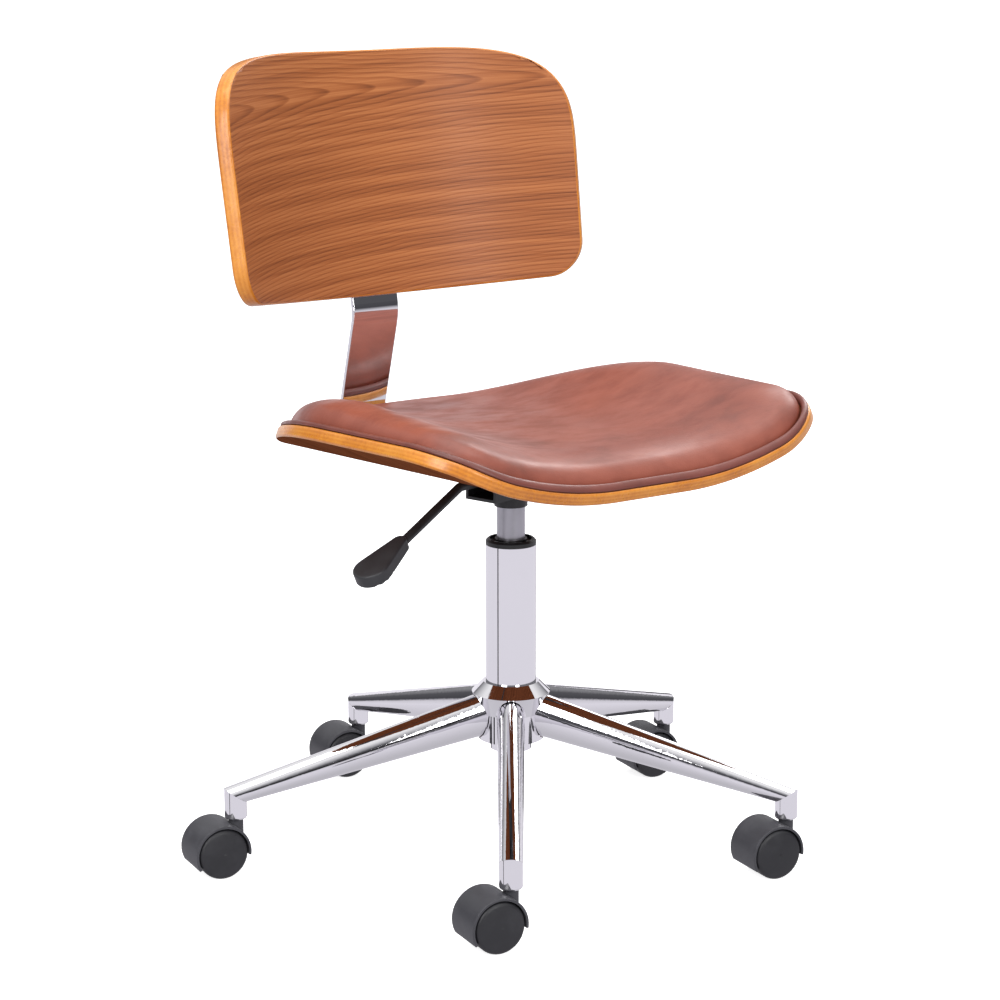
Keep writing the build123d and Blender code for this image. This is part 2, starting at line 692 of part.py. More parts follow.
with BuildPart() as seat_piping:
    extrude(seat_face(PIPING_HEIGHT, 0), amount=PIPING_HEIGHT - SNUG, dir=DOWN)
    extrude(seat_plan(PIPING_INSET), amount=layer_room, mode=Mode.INTERSECT)
    extrude(seat_plan(PIPING_INSET + PIPING_WIDTH), amount=layer_room, mode=Mode.SUBTRACT)
    fillet(upper_face(seat_piping).edges(), PIPING_ROUND)
save(seat_piping, "seat_piping")

with BuildPart() as seat_plate:
    with BuildSketch(plate_plane):
        with Locations((0, seat_bolt_middle)):
            RectangleRounded(PLATE_WIDTH, PLATE_FRONT + PLATE_BACK, PLATE_CORNER)
    extrude(amount=-PLATE_WALL)
    post(plate_plane, bolt_points + bar_points, BOLT_DIAMETER + 2 * SNUG, -PLATE_WALL, Mode.SUBTRACT)
save(seat_plate, "seat_plate")


def bolts(plane, points, length):
    """Button-head bolts with their heads under a plane and their shanks above it."""
    post(plane, points, BOLT_DIAMETER, length)
    post(plane, points, BOLT_HEAD, -BOLT_HEAD_HEIGHT)


def tee_nuts(points):
    """Tee nuts sunk in the top of the seat."""
    post(tee_plane, points, TEE_FLANGE, -TEE_FLANGE_HEIGHT)
    post(tee_plane, points, TEE_BARREL, -TEE_LENGTH)
    post(tee_plane, points, BOLT_DIAMETER + 2 * SNUG, -TEE_LENGTH, Mode.SUBTRACT)


stack = SEAT_PLY - TEE_SINK - TEE_FLANGE_HEIGHT
with BuildPart() as seat_bolts:
    bolts(plate_under.offset(-SNUG), bolt_points, PLATE_WALL + stack)
save(seat_bolts, "seat_bolts")

with BuildPart() as seat_tee_nuts:
    tee_nuts(bolt_points)
save(seat_tee_nuts, "seat_tee_nuts")

with BuildPart() as bar_bolts:
    bolts(bar_plane.offset(-BAR_THICKNESS - SNUG), bar_points, BAR_THICKNESS + PLATE_WALL + stack)
save(bar_bolts, "bar_bolts")

with BuildPart() as bar_tee_nuts:
    tee_nuts(bar_points)
save(bar_tee_nuts, "bar_tee_nuts")

# Backrest panel, concave towards the sitter and leaning back

back_normal = Vector(0, math.cos(recline), -math.sin(recline))
back_up = Vector(0, math.sin(recline), math.cos(recline))
back_middle = Vector(0, BACK_REACH, BACK_RISE)
panel_plane = Plane(origin=back_middle, x_dir=(-1, 0, 0), z_dir=back_normal)
arc_depth = BACK_RADIUS * (1 - math.cos(BACK_HALF_ARC / BACK_RADIUS))


def chord(arc):
    """Straight half width of a length along the front face."""
    return BACK_RADIUS * math.sin(arc / BACK_RADIUS)


def crest(share):
    """Point of the rounded upper outline, from one side over the top to the other."""
    angle = math.pi * share
    power = 2 / BACK_ROUND_POWER
    side = math.copysign(abs(math.cos(angle)) ** power, math.cos(angle))
    rise = BACK_HALF_HEIGHT * math.sin(angle) ** power if 0 < share < 1 else 0.0
    spread = 1 + BACK_SPREAD * rise / BACK_HALF_HEIGHT
    return (chord(BACK_HALF_ARC * spread * side), rise)


half_chord = chord(BACK_HALF_ARC)
low_half = half_chord - BACK_LOW_TUCK
crest_points = [crest(step / (2 * BACK_POINTS)) for step in range(2 * BACK_POINTS + 1)]
back_bolt_places = GridLocations(BACK_BOLT_X, BACK_BOLT_Y, 2, 2).locations
back_points = [(place.position.X, place.position.Y - BACK_BOLT_DROP) for place in back_bolt_places]
back_sag = (BACK_BOLT_X / 2 + INSERT_DIAMETER) ** 2 / (2 * BACK_RADIUS)
panel_back = panel_plane.offset(BACK_PLY)
with BuildPart() as backrest_panel:
    ring_plane = Plane(
        origin=back_middle - back_up * 2 * BACK_HALF_HEIGHT - back_normal * BACK_RADIUS,
        x_dir=(1, 0, 0),
        z_dir=back_up,
    )
    with BuildSketch(ring_plane):
        Circle(BACK_RADIUS + BACK_PLY)
        Circle(BACK_RADIUS, mode=Mode.SUBTRACT)
    extrude(amount=4 * BACK_HALF_HEIGHT)
    with BuildSketch(panel_plane.offset(-arc_depth - BACK_PLY)):
        with BuildLine():
            Spline(*crest_points, tangents=[(0, 1), (0, -1)])
            FilletPolyline(
                crest_points[-1],
                (-low_half, -BACK_HALF_HEIGHT),
                (low_half, -BACK_HALF_HEIGHT),
                crest_points[0],
                radius=BACK_LOW_CORNER,
            )
        make_face()
    extrude(amount=arc_depth + 3 * BACK_PLY, mode=Mode.INTERSECT)
    post(panel_back, back_points, INSERT_DIAMETER + 2 * SNUG, -INSERT_LENGTH - SNUG, Mode.SUBTRACT)
save(backrest_panel, "backrest_panel")

bar_face = panel_back.offset(SNUG)
with BuildPart() as backrest_inserts:
    post(panel_back.offset(-back_sag), back_points, INSERT_DIAMETER, -INSERT_LENGTH + back_sag)
    post(panel_back, back_points, BOLT_DIAMETER + 2 * SNUG, -INSERT_LENGTH, Mode.SUBTRACT)
save(backrest_inserts, "backrest_inserts")

# Back bar, bent from flat steel

slant_meet = (
    BAR_BULGE + (BAR_BULGE_RISE - bar_face.origin.Z) * BAR_SLANT - bar_face.origin.Y
) / (back_up.Y + BAR_SLANT * back_up.Z)
high_corner = bar_face.origin + back_up * slant_meet
bar_level = height_on(bar_plane, 0)
low_y = (BAR_BULGE + (BAR_BULGE_RISE - bar_level) * BAR_SLANT) / (1 - SEAT_SLOPE * BAR_SLANT)
bar_top = bar_face.origin - back_up * BAR_TOP
with BuildPart() as back_bar:
    with BuildSketch(Plane.YZ.offset(-BAR_WIDTH / 2)):
        with BuildLine():
            FilletPolyline(
                (BAR_FRONT, height_on(bar_plane, BAR_FRONT)),
                (low_y, height_on(bar_plane, low_y)),
                (high_corner.Y, high_corner.Z),
                (bar_top.Y, bar_top.Z),
                radius=[BAR_LOW_BEND, BAR_HIGH_BEND],
            )
            offset(amount=BAR_THICKNESS, side=Side.RIGHT)
        make_face()
    extrude(amount=BAR_WIDTH)
    bar_ends = back_bar.faces().filter_by(GeomType.PLANE).sort_by(SortBy.AREA)[:2]
    fillet(bar_ends.edges().filter_by(lambda edge: abs(edge.length - BAR_THICKNESS) < AIR), BAR_CORNER)
    bar_sides = back_bar.faces().sort_by(Axis.X)
    fillet(bar_sides[0].edges() + bar_sides[-1].edges(), BAR_EDGE_ROUND)
    post(bar_plane, bar_points, BOLT_DIAMETER + 2 * SNUG, -BAR_THICKNESS, Mode.SUBTRACT)
    post(bar_face, back_points, BOLT_DIAMETER + 2 * SNUG, BAR_THICKNESS, Mode.SUBTRACT)
save(back_bar, "back_bar")

with BuildPart() as backrest_bolts:
    bolt_seat = bar_face.offset(BAR_THICKNESS + SNUG)
    post(bolt_seat, back_points, BOLT_DIAMETER, -BAR_THICKNESS - INSERT_LENGTH + BOLT_HEAD_HEIGHT)
    post(bolt_seat, back_points, BOLT_HEAD, BOLT_HEAD_HEIGHT)
save(backrest_bolts, "backrest_bolts")

# Casters

heading = math.radians(CASTER_HEADING)
ahead = Vector(math.cos(heading), math.sin(heading), 0)
across = Vector(-math.sin(heading), math.cos(heading), 0)
hood_radius = wheel_radius + HOOD_GAP + HOOD_WALL
wheel_start = WEB_WIDTH / 2 + AIR
wheel_end = wheel_start + WHEEL_WIDTH
wheel_rim = wheel_end - WHEEL_DOME

for number, angle in enumerate(leg_angles, start=1):
    stem_foot = Vector(*on_circle(BASE_RADIUS, angle))
    hub_point = stem_foot + ahead * CASTER_TRAIL + Vector(0, 0, wheel_radius)
    side_plane = Plane(origin=hub_point, x_dir=-ahead, z_dir=across)
    neck_top = SOCKET_FOOT - STEM_GAP
    neck_plane = Plane(stem_foot).offset(wheel_radius)
    root_plane = Plane(stem_foot).offset(neck_top - STEM_ROOT)

    with BuildPart() as caster_hood:
        with BuildSketch(side_plane):
            with BuildLine():
                rim = CenterArc((0, 0), hood_radius, HOOD_START, HOOD_SWEEP)
                Line(rim @ 1, (0, 0))
                Line((0, 0), rim @ 0)
            make_face()
        extrude(amount=HOOD_WIDTH / 2, both=True)
        fillet(caster_hood.edges().filter_by(GeomType.CIRCLE), HOOD_ROUND)
        post(neck_plane, [(0, 0)], NECK_DIAMETER, neck_top - wheel_radius)
        with BuildSketch(side_plane):
            Circle(wheel_radius + HOOD_GAP)
        extrude(amount=hood_radius, both=True, mode=Mode.SUBTRACT)
        with BuildSketch(side_plane):
            with BuildLine():
                rim = CenterArc((0, 0), hood_radius - HOOD_WALL / 2, HOOD_START, HOOD_SWEEP)
                Line(rim @ 1, (0, 0))
                Line((0, 0), rim @ 0)
            make_face()
            Circle(WEB_RADIUS)
        extrude(amount=WEB_WIDTH / 2, both=True)
        post(root_plane, [(0, 0)], STEM_DIAMETER + 2 * SNUG, STEM_ROOT, Mode.SUBTRACT)
        axle_hole = AXLE_DIAMETER + 2 * SNUG
        post(side_plane.offset(-WEB_WIDTH), [(0, 0)], axle_hole, 2 * WEB_WIDTH, Mode.SUBTRACT)
    save(caster_hood, f"caster_hood_{number}")

    with BuildPart() as caster_stem:
        post(root_plane, [(0, 0)], STEM_DIAMETER, STEM_ROOT + STEM_GAP + STEM_GRIP)
        chamfer(caster_stem.edges().sort_by(Axis.Z)[-1], STEM_CHAMFER)
    save(caster_stem, f"caster_stem_{number}")

    with BuildPart() as caster_axle:
        axle_half = wheel_end - WHEEL_DOME - AXLE_SINK
        post(side_plane.offset(-axle_half), [(0, 0)], AXLE_DIAMETER, 2 * axle_half)
    save(caster_axle, f"caster_axle_{number}")

    for side, letter in ((1, "a"), (-1, "b")):
        outward = across * side
        section_plane = Plane(origin=hub_point, x_dir=ahead, z_dir=ahead.cross(outward))
        with BuildPart() as caster_wheel:
            with BuildSketch(section_plane) as section:
                with BuildLine():
                    Polyline(
                        (0, wheel_end),
                        (0, wheel_start),
                        (wheel_radius, wheel_start),
                        (wheel_radius, wheel_rim),
                    )
                    TangentArc((0, wheel_end), (wheel_radius, wheel_rim), tangent=(1, 0))
                make_face()
                outer_corner = section.vertices().group_by(Axis.X)[-1].sort_by(Axis.Y)[-1]
                fillet(outer_corner, WHEEL_ROUND)
            revolve(axis=Axis(hub_point, outward))
            bore_plane = Plane(origin=hub_point, x_dir=-ahead, z_dir=outward).offset(wheel_start)
            axle_room = axle_half - wheel_start + AIR
            post(bore_plane, [(0, 0)], AXLE_DIAMETER + 2 * RUN, axle_room, Mode.SUBTRACT)
        save(caster_wheel, f"caster_wheel_{number}{letter}")
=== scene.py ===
"""Looks of an office chair: bent walnut plywood, a brown leather pad and a chromed swivel base."""

import json
import logging
import math
from collections.abc import Callable, Sequence
from dataclasses import dataclass, field
from enum import Enum

import bmesh
import bpy
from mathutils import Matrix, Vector

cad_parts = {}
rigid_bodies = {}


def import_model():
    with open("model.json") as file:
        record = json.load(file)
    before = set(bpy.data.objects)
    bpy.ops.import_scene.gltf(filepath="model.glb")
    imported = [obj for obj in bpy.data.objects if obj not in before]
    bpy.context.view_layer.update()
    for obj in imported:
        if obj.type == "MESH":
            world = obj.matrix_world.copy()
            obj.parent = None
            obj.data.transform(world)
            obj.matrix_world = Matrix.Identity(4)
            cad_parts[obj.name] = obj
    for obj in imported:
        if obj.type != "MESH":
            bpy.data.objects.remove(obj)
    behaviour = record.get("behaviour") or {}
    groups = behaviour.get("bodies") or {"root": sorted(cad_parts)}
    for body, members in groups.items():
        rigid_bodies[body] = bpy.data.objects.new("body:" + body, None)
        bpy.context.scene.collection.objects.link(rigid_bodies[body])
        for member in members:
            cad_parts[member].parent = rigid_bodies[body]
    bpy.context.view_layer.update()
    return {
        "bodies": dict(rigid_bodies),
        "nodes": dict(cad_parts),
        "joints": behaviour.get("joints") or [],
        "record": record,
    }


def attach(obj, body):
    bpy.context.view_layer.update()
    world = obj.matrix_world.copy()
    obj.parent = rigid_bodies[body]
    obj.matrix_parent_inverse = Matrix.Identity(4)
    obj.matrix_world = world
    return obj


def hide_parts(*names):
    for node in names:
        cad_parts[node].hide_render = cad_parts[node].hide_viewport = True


SEAT_BODY = "seat"
DEPTH = "ply_depth"
ARRIS_STEPS = 4
WELD = 0.00005
LOG = logging.getLogger("chair")
Pair = tuple[float, float]
Point = tuple[float, float, float]
Colour = tuple[float, float, float]
Stops = Sequence[tuple[float, Colour]]


class Slot(Enum):
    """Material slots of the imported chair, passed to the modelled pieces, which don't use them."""

    WOOD = "walnut_plywood"
    LEATHER = "brown_leather"


def linear(red: int, green: int, blue: int) -> Colour:
    """Turns a screen colour of 0 to 255 into the linear colour that shaders use."""
    shares = (red / 255, green / 255, blue / 255)
    return tuple(s / 12.92 if s <= 0.04045 else ((s + 0.055) / 1.055) ** 2.4 for s in shares)


class Value:
    """A number or colour on a shader board; numbers take part in Python arithmetic."""

    def __init__(self, board: "Board", socket: bpy.types.NodeSocket) -> None:
        """Keeps the board and the socket that carries the value."""
        self.board = board
        self.socket = socket

    def __add__(self, other: "Value | float") -> "Value":
        """Sum."""
        return self.board.maths("ADD", self, other)

    def __radd__(self, other: float) -> "Value":
        """Sum with the number first."""
        return self.board.maths("ADD", other, self)

    def __sub__(self, other: "Value | float") -> "Value":
        """Difference."""
        return self.board.maths("SUBTRACT", self, other)

    def __rsub__(self, other: float) -> "Value":
        """Difference with the number first."""
        return self.board.maths("SUBTRACT", other, self)

    def __mul__(self, other: "Value | float") -> "Value":
        """Product."""
        return self.board.maths("MULTIPLY", self, other)

    def __rmul__(self, other: float) -> "Value":
        """Product with the number first."""
        return self.board.maths("MULTIPLY", other, self)

    def __truediv__(self, other: "Value | float") -> "Value":
        """Quotient."""
        return self.board.maths("DIVIDE", self, other)

    def __rtruediv__(self, other: float) -> "Value":
        """Quotient with the number first."""
        return self.board.maths("DIVIDE", other, self)

    def fraction(self) -> "Value":
        """What is left over a whole number."""
        return self.board.maths("FRACT", self)

    def wave(self) -> "Value":
        """Sine of the number."""
        return self.board.maths("SINE", self)

    def root(self) -> "Value":
        """Square root."""
        return self.board.maths("SQRT", self)


class Board:
    """Node board of one material or of the room."""

    def __init__(self, owner: bpy.types.Material | bpy.types.World) -> None:
        """Empties the nodes of the material or room.

        Args:
            owner: The material, or the world for the room.
        """
        self.owner = owner
        self.owner.use_nodes = True
        self.tree = owner.node_tree
        self.tree.nodes.clear()

    def node(self, kind: str, settings: dict, inputs: dict, output: str | int = 0) -> Value:
        """Adds one node.

        Args:
            kind: Blender's type name without its ShaderNode prefix.
            settings: Properties to set first; "stops" holds a ramp's (place, colour) pairs.
            inputs: Values or links by socket name or number.
            output: Socket of the result.

        Returns:
            The chosen output.
        """
        made = self.tree.nodes.new("ShaderNode" + kind)
        for key, setting in settings.items():
            if key == "stops":
                self.set_stops(made.color_ramp, setting)
            else:
                setattr(made, key, setting)
        for key, given in inputs.items():
            if isinstance(given, Value):
                self.tree.links.new(given.socket, made.inputs[key])
            else:
                made.inputs[key].default_value = given
        return Value(self, made.outputs[output])

    @staticmethod
    def set_stops(ramp: bpy.types.ColorRamp, stops: Stops) -> None:
        """Puts stops on a colour ramp that starts with two.

        Args:
            ramp: Ramp of a new node.
            stops: Places and colours, in order.
        """
        while len(ramp.elements) < len(stops):
            ramp.elements.new(1.0)
        for element, (place, colour) in zip(ramp.elements, stops):
            element.position = place
            element.color = (*colour, 1.0)

    def maths(self, operation: str, *terms: "Value | float") -> Value:
        """Adds a Math node over one or two terms."""
        return self.node("Math", {"operation": operation}, dict(enumerate(terms)))

    def place(self, scale: Point = (1, 1, 1), turn: Point = (0, 0, 0), shift: Point = (0, 0, 0)) -> Value:
        """Object coordinates, scaled, turned and moved.

        Args:
            scale: Factor each way.
            turn: Angles about x, y and z.
            shift: Step each way.

        Returns:
            The coordinates.
        """
        where = self.node("TexCoord", {}, {}, "Object")
        inputs = {"Vector": where, "Location": shift, "Rotation": turn, "Scale": scale}
        return self.node("Mapping", {}, inputs)

    def scaled(self, vector: Value, waves: Point) -> Value:
        """Coordinates scaled to waves per metre each way."""
        return self.node("Mapping", {}, {"Vector": vector, "Scale": waves})

    def noise(self, vector: Value, scale: float, detail: float = 4.0, rough: float = 0.55) -> Value:
        """Noise of a scale in waves per metre."""
        inputs = {"Vector": vector, "Scale": scale, "Detail": detail, "Roughness": rough}
        return self.node("TexNoise", {}, inputs)

    def ramp(self, factor: Value, stops: Stops) -> Value:
        """Colour ramp over a number."""
        return self.node("ValToRGB", {"stops": stops}, {"Fac": factor})

    def band(self, number: Value, span: Pair, result: Pair = (0.0, 1.0)) -> Value:
        """Maps a span of a number smoothly to another span."""
        ends = {"From Min": span[0], "From Max": span[1], "To Min": result[0], "To Max": result[1]}
        return self.node("MapRange", {"interpolation_type": "SMOOTHSTEP"}, {"Value": number, **ends})

    def mix(self, factor: Value, first: "Value | Colour", second: "Value | Colour") -> Value:
        """Mixes two colours.

        Args:
            factor: Share of the second colour.
            first: Colour at a share of 0.
            second: Colour at a share of 1.

        Returns:
            The mixed colour.
        """
        inputs = {0: factor}
        for key, colour in ((6, first), (7, second)):
            inputs[key] = colour if isinstance(colour, Value) else (*colour, 1.0)
        return self.node("Mix", {"data_type": "RGBA"}, inputs, 2)

    def bump(self, height: Value, depth: float, strength: float) -> Value:
        """Bump from a height, with its depth in metres."""
        return self.node("Bump", {}, {"Height": height, "Distance": depth, "Strength": strength})

    def close(self, kind: str, surface: Value) -> None:
        """Ends the board with an output node."""
        out = self.tree.nodes.new("ShaderNode" + kind)
        self.tree.links.new(surface.socket, out.inputs["Surface"])

    def finish(self, inputs: dict) -> bpy.types.Material:
        """Closes the board with a principled surface and gives its material."""
        self.close("OutputMaterial", self.node("BsdfPrincipled", {}, inputs))
        return self.owner


def mapped_sheet(columns: int, rows: int, place: Callable[[float, float], Point]) -> bmesh.types.BMesh:
    """Makes a grid and moves each point to where a form puts it.

    Args:
        columns: Faces along u.
        rows: Faces along v.
        place: Gives the point for u and v from -1 to 1.

    Returns:
        The shaped grid.
    """
    sheet = bmesh.new()
    bmesh.ops.create_grid(sheet, x_segments=columns, y_segments=rows, size=1.0)
    for vertex in sheet.verts:
        vertex.co = place(vertex.co.x, vertex.co.y)
    return sheet


def rounded_reach(along: float, across: float, half: Pair, corner: float) -> float:
    """How far a ray from the middle goes before it leaves a rounded rectangle.

    Args:
        along: Share of the half length along X, up to 1.
        across: Share of the half width along Y, up to 1.
        half: Half sizes in X and Y.
        corner: Radius of the corners.

    Returns:
        The share of the ray that lies inside.
    """
    ray = Vector((abs(along) * half[0], abs(across) * half[1]))
    centre = Vector((half[0] - corner, half[1] - corner))
    if ray.x <= centre.x or ray.y <= centre.y:
        return 1.0
    reach = centre.dot(ray)
    spare = reach**2 - ray.length_squared * (centre.length_squared - corner**2)
    return (reach + math.sqrt(max(0.0, spare))) / ray.length_squared


def thicken(sheet: bmesh.types.BMesh, shift: Callable[[Vector], Vector], arris: float) -> None:
    """Gives a sheet a far side and rounds the rim.

    Args:
        sheet: Open sheet that becomes a closed board.
        shift: Gives the step from a point of the near side to the far side.
        arris: Radius of the rounded rim edges.
    """
    near = list(sheet.faces)
    grown = bmesh.ops.extrude_face_region(sheet, geom=near)["geom"]
    for vertex in [item for item in grown if isinstance(item, bmesh.types.BMVert)]:
        vertex.co = vertex.co + shift(vertex.co)
    flat = set(near) | {item for item in grown if isinstance(item, bmesh.types.BMFace)}
    sides = [face for face in sheet.faces if face not in flat]
    walls = set(sides)
    rim = [edge for face in sides for edge in face.edges if len(walls & set(edge.link_faces)) == 1]
    bmesh.ops.recalc_face_normals(sheet, faces=list(sheet.faces))
    bmesh.ops.bevel(
        sheet,
        geom=list(dict.fromkeys(rim)),
        offset=arris,
        offset_type="OFFSET",
        segments=ARRIS_STEPS,
        profile=0.5,
        affect="EDGES",
        material=-1,
    )


def piece(
    name: str,
    shape: bmesh.types.BMesh,
    slot: Slot,
    replaced: Sequence[str],
    finishes: Sequence[bpy.types.Material],
) -> bpy.types.Object:
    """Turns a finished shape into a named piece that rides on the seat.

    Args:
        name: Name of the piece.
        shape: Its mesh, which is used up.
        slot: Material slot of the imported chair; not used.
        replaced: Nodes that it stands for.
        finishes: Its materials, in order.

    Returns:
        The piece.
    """
    mesh = bpy.data.meshes.new(name)
    shape.to_mesh(mesh)
    shape.free()
    made = bpy.data.objects.new(name, mesh)
    bpy.context.scene.collection.objects.link(made)
    for polygon in mesh.polygons:
        polygon.use_smooth = True
    for finish in finishes:
        mesh.materials.append(finish)
    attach(made, SEAT_BODY)
    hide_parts(*replaced)
    LOG.info("%s: %d faces on %s", name, len(mesh.polygons), SEAT_BODY)
    return made


def dress_board(board: bpy.types.Object, depth: Callable[[Vector], float], rim: Pair = (0.02, 0.98)) -> None:
    """Marks how deep each point lies in a board and gives its rim the second finish.

    Args:
        board: Board with a face finish and a rim finish.
        depth: Gives 0 at the near side and 1 at the far side.
        rim: Depths between which a face belongs to the rim.
    """
    mesh = board.data
    marks = mesh.attributes.new(DEPTH, "FLOAT", "POINT")
    marks.data.foreach_set("value", [depth(vertex.co) for vertex in mesh.vertices])
    for polygon in mesh.polygons:
        polygon.material_index = 1 if rim[0] < depth(polygon.center) < rim[1] else 0


@dataclass(frozen=True)
class Chrome:
    """Polished chrome plating with faint handling marks."""

    name: str = "polished_chrome"
    tint: Colour = (0.86, 0.85, 0.88)
    smudge_scale: float = 38.0
    smudge_detail: float = 3.0
    smudge_span: Pair = (0.5, 0.78)
    rough: Pair = (0.035, 0.11)

    def material(self) -> bpy.types.Material:
        """Makes the chrome.

        Returns:
            The material.
        """
        board = Board(bpy.data.materials.new(self.name))
        smudge = board.noise(board.place(), self.smudge_scale, self.smudge_detail)
        rough = board.band(smudge, self.smudge_span, self.rough)
        return board.finish({"Base Color": (*self.tint, 1.0), "Metallic": 1.0, "Roughness": rough})


@dataclass(frozen=True)
class Metal:
    """Plain, plated or painted metal with a fine uneven surface."""

    name: str
    colour: Colour
    worn: Colour
    metallic: float
    rough: Pair
    cloud_scale: float = 30.0
    worn_span: Pair = (0.4, 0.7)
    rough_span: Pair = (0.3, 0.7)
    grain_scale: float = 420.0
    grain_detail: float = 2.0
    grain_depth: float = 0.00006
    grain_strength: float = 0.5

    def material(self) -> bpy.types.Material:
        """Makes the metal.

        Returns:
            The material.
        """
        board = Board(bpy.data.materials.new(self.name))
        where = board.place()
        cloud = board.noise(where, self.cloud_scale)
        grain = board.noise(where, self.grain_scale, self.grain_detail)
        return board.finish({
            "Base Color": board.mix(board.band(cloud, self.worn_span), self.colour, self.worn),
            "Metallic": self.metallic,
            "Roughness": board.band(cloud, self.rough_span, self.rough),
            "Normal": board.bump(grain, self.grain_depth, self.grain_strength),
        })


@dataclass(frozen=True)
class MouldedPlastic:
    """Moulded plastic with a spark-eroded grain."""

    name: str
    colour: Colour
    scuffed: Colour
    rough: Pair
    cloud_scale: float = 45.0
    cloud_detail: float = 3.0
    scuff_span: Pair = (0.42, 0.75)
    rough_span: Pair = (0.3, 0.7)
    gloss: float = 0.5
    grain_scale: float = 1100.0
    grain_detail: float = 2.0
    grain_depth: float = 0.00008
    grain_strength: float = 0.6

    def material(self) -> bpy.types.Material:
        """Makes the plastic.

        Returns:
            The material.
        """
        board = Board(bpy.data.materials.new(self.name))
        where = board.place()
        cloud = board.noise(where, self.cloud_scale, self.cloud_detail)
        grain = board.noise(where, self.grain_scale, self.grain_detail)
        return board.finish({
            "Base Color": board.mix(board.band(cloud, self.scuff_span), self.colour, self.scuffed),
            "Roughness": board.band(cloud, self.rough_span, self.rough),
            "Specular IOR Level": self.gloss,
            "Normal": board.bump(grain, self.grain_depth, self.grain_strength),
        })


@dataclass(frozen=True)
class Walnut:
    """Lacquered walnut veneer, cut so that its rings run out in pointed arches."""

    name: str
    heart: Point
    turn: Point = (0.0, 0.0, 0.0)
    light: Colour = linear(186, 118, 70)
    middle: Colour = linear(162, 95, 52)
    dark: Colour = linear(116, 63, 33)
    tone_places: Point = (0.12, 0.50, 0.98)
    ring: float = 0.0040
    ring_line: Sequence[Pair] = ((0.0, 0.08), (0.55, 0.30), (0.88, 1.0), (0.94, 0.80), (1.0, 0.08))
    ring_share: float = 0.46
    runout: float = 0.07
    core: float = 0.012
    drift: float = 0.018
    drift_waves: Point = (3.0, 1.0, 9.0)
    ripple: float = 0.0045
    ripple_waves: Point = (9.0, 1.0, 40.0)
    figure_detail: float = 3.0
    streak_waves: Point = (2.2, 2.0, 150.0)
    streak_span: Pair = (0.3, 0.7)
    streak_share: float = 0.36
    pore_waves: Point = (9.0, 8.0, 900.0)
    pore_detail: float = 4.0
    pore_rough: float = 0.6
    pore_span: Pair = (0.35, 0.7)
    pore_share: float = 0.26
    pore_depth: float = 0.00004
    pore_strength: float = 0.5
    rough: Pair = (0.38, 0.50)
    rough_span: Pair = (0.3, 0.7)
    gloss: float = 0.3
    coat: float = 0.05
    coat_rough: float = 0.22

    def material(self) -> bpy.types.Material:
        """Makes the veneer: x runs along the grain and z across it.

        Returns:
            The material.
        """
        board = Board(bpy.data.materials.new(self.name))
        where = board.place(turn=self.turn, shift=self.heart)
        along = board.node("SeparateXYZ", {}, {"Vector": where}, "X")
        across = board.node("SeparateXYZ", {}, {"Vector": where}, "Z")
        drift = board.noise(board.scaled(where, self.drift_waves), 1.0, self.figure_detail) - 0.5
        ripple = board.noise(board.scaled(where, self.ripple_waves), 1.0, self.figure_detail) - 0.5
        height = across + drift * self.drift + ripple * self.ripple
        rings = (height * height + self.core**2).root() + along * self.runout
        phase = (rings / self.ring).fraction()
        pore = board.noise(board.scaled(where, self.pore_waves), 1.0, self.pore_detail, self.pore_rough)
        streak = board.noise(board.scaled(where, self.streak_waves), 1.0, self.figure_detail)
        line = board.ramp(phase, [(place, (grey, grey, grey)) for place, grey in self.ring_line])
        streaks = board.band(streak, self.streak_span) * self.streak_share
        pores = board.band(pore, self.pore_span) * self.pore_share
        tone = line * self.ring_share + streaks + pores
        return board.finish({
            "Base Color": board.ramp(tone, list(zip(self.tone_places, (self.light, self.middle, self.dark)))),
            "Roughness": board.band(pore, self.rough_span, self.rough),
            "Specular IOR Level": self.gloss,
            "Coat Weight": self.coat,
            "Coat Roughness": self.coat_rough,
            "Normal": board.bump(pore, self.pore_depth, self.pore_strength),
        })


@dataclass(frozen=True)
class PlyEdge:
    """Sanded and lacquered plywood edge with its plies in fine lines."""

    name: str = "amber_ply_edge"
    light: Colour = linear(230, 154, 60)
    middle: Colour = linear(212, 130, 40)
    dark: Colour = linear(176, 98, 30)
    tone_places: Point = (0.1, 0.5, 0.95)
    plies: int = 7
    ply_waver: float = 1.2
    ply_share: float = 0.20
    cloud_scale: float = 18.0
    cloud_span: Pair = (0.3, 0.7)
    cloud_share: float = 0.45
    fibre_scale: float = 260.0
    fibre_detail: float = 3.0
    fibre_span: Pair = (0.3, 0.75)
    fibre_share: float = 0.25
    fibre_depth: float = 0.00005
    fibre_strength: float = 0.4
    rough: Pair = (0.26, 0.38)
    rough_span: Pair = (0.3, 0.7)
    coat: float = 0.3
    coat_rough: float = 0.14

    def material(self) -> bpy.types.Material:
        """Makes the edge from the depth through the board.

        Returns:
            The material.
        """
        board = Board(bpy.data.materials.new(self.name))
        depth = board.node("Attribute", {"attribute_name": DEPTH}, {}, "Fac")
        where = board.place()
        cloud = board.noise(where, self.cloud_scale)
        fibre = board.noise(where, self.fibre_scale, self.fibre_detail)
        layer = (depth * (self.plies * math.pi) + cloud * self.ply_waver).wave()
        tone = board.band(layer, (-1.0, 1.0)) * self.ply_share
        tone = tone + board.band(cloud, self.cloud_span) * self.cloud_share
        tone = tone + board.band(fibre, self.fibre_span) * self.fibre_share
        return board.finish({
            "Base Color": board.ramp(tone, list(zip(self.tone_places, (self.light, self.middle, self.dark)))),
            "Roughness": board.band(fibre, self.rough_span, self.rough),
            "Coat Weight": self.coat,
            "Coat Roughness": self.coat_rough,
            "Normal": board.bump(fibre, self.fibre_depth, self.fibre_strength),
        })


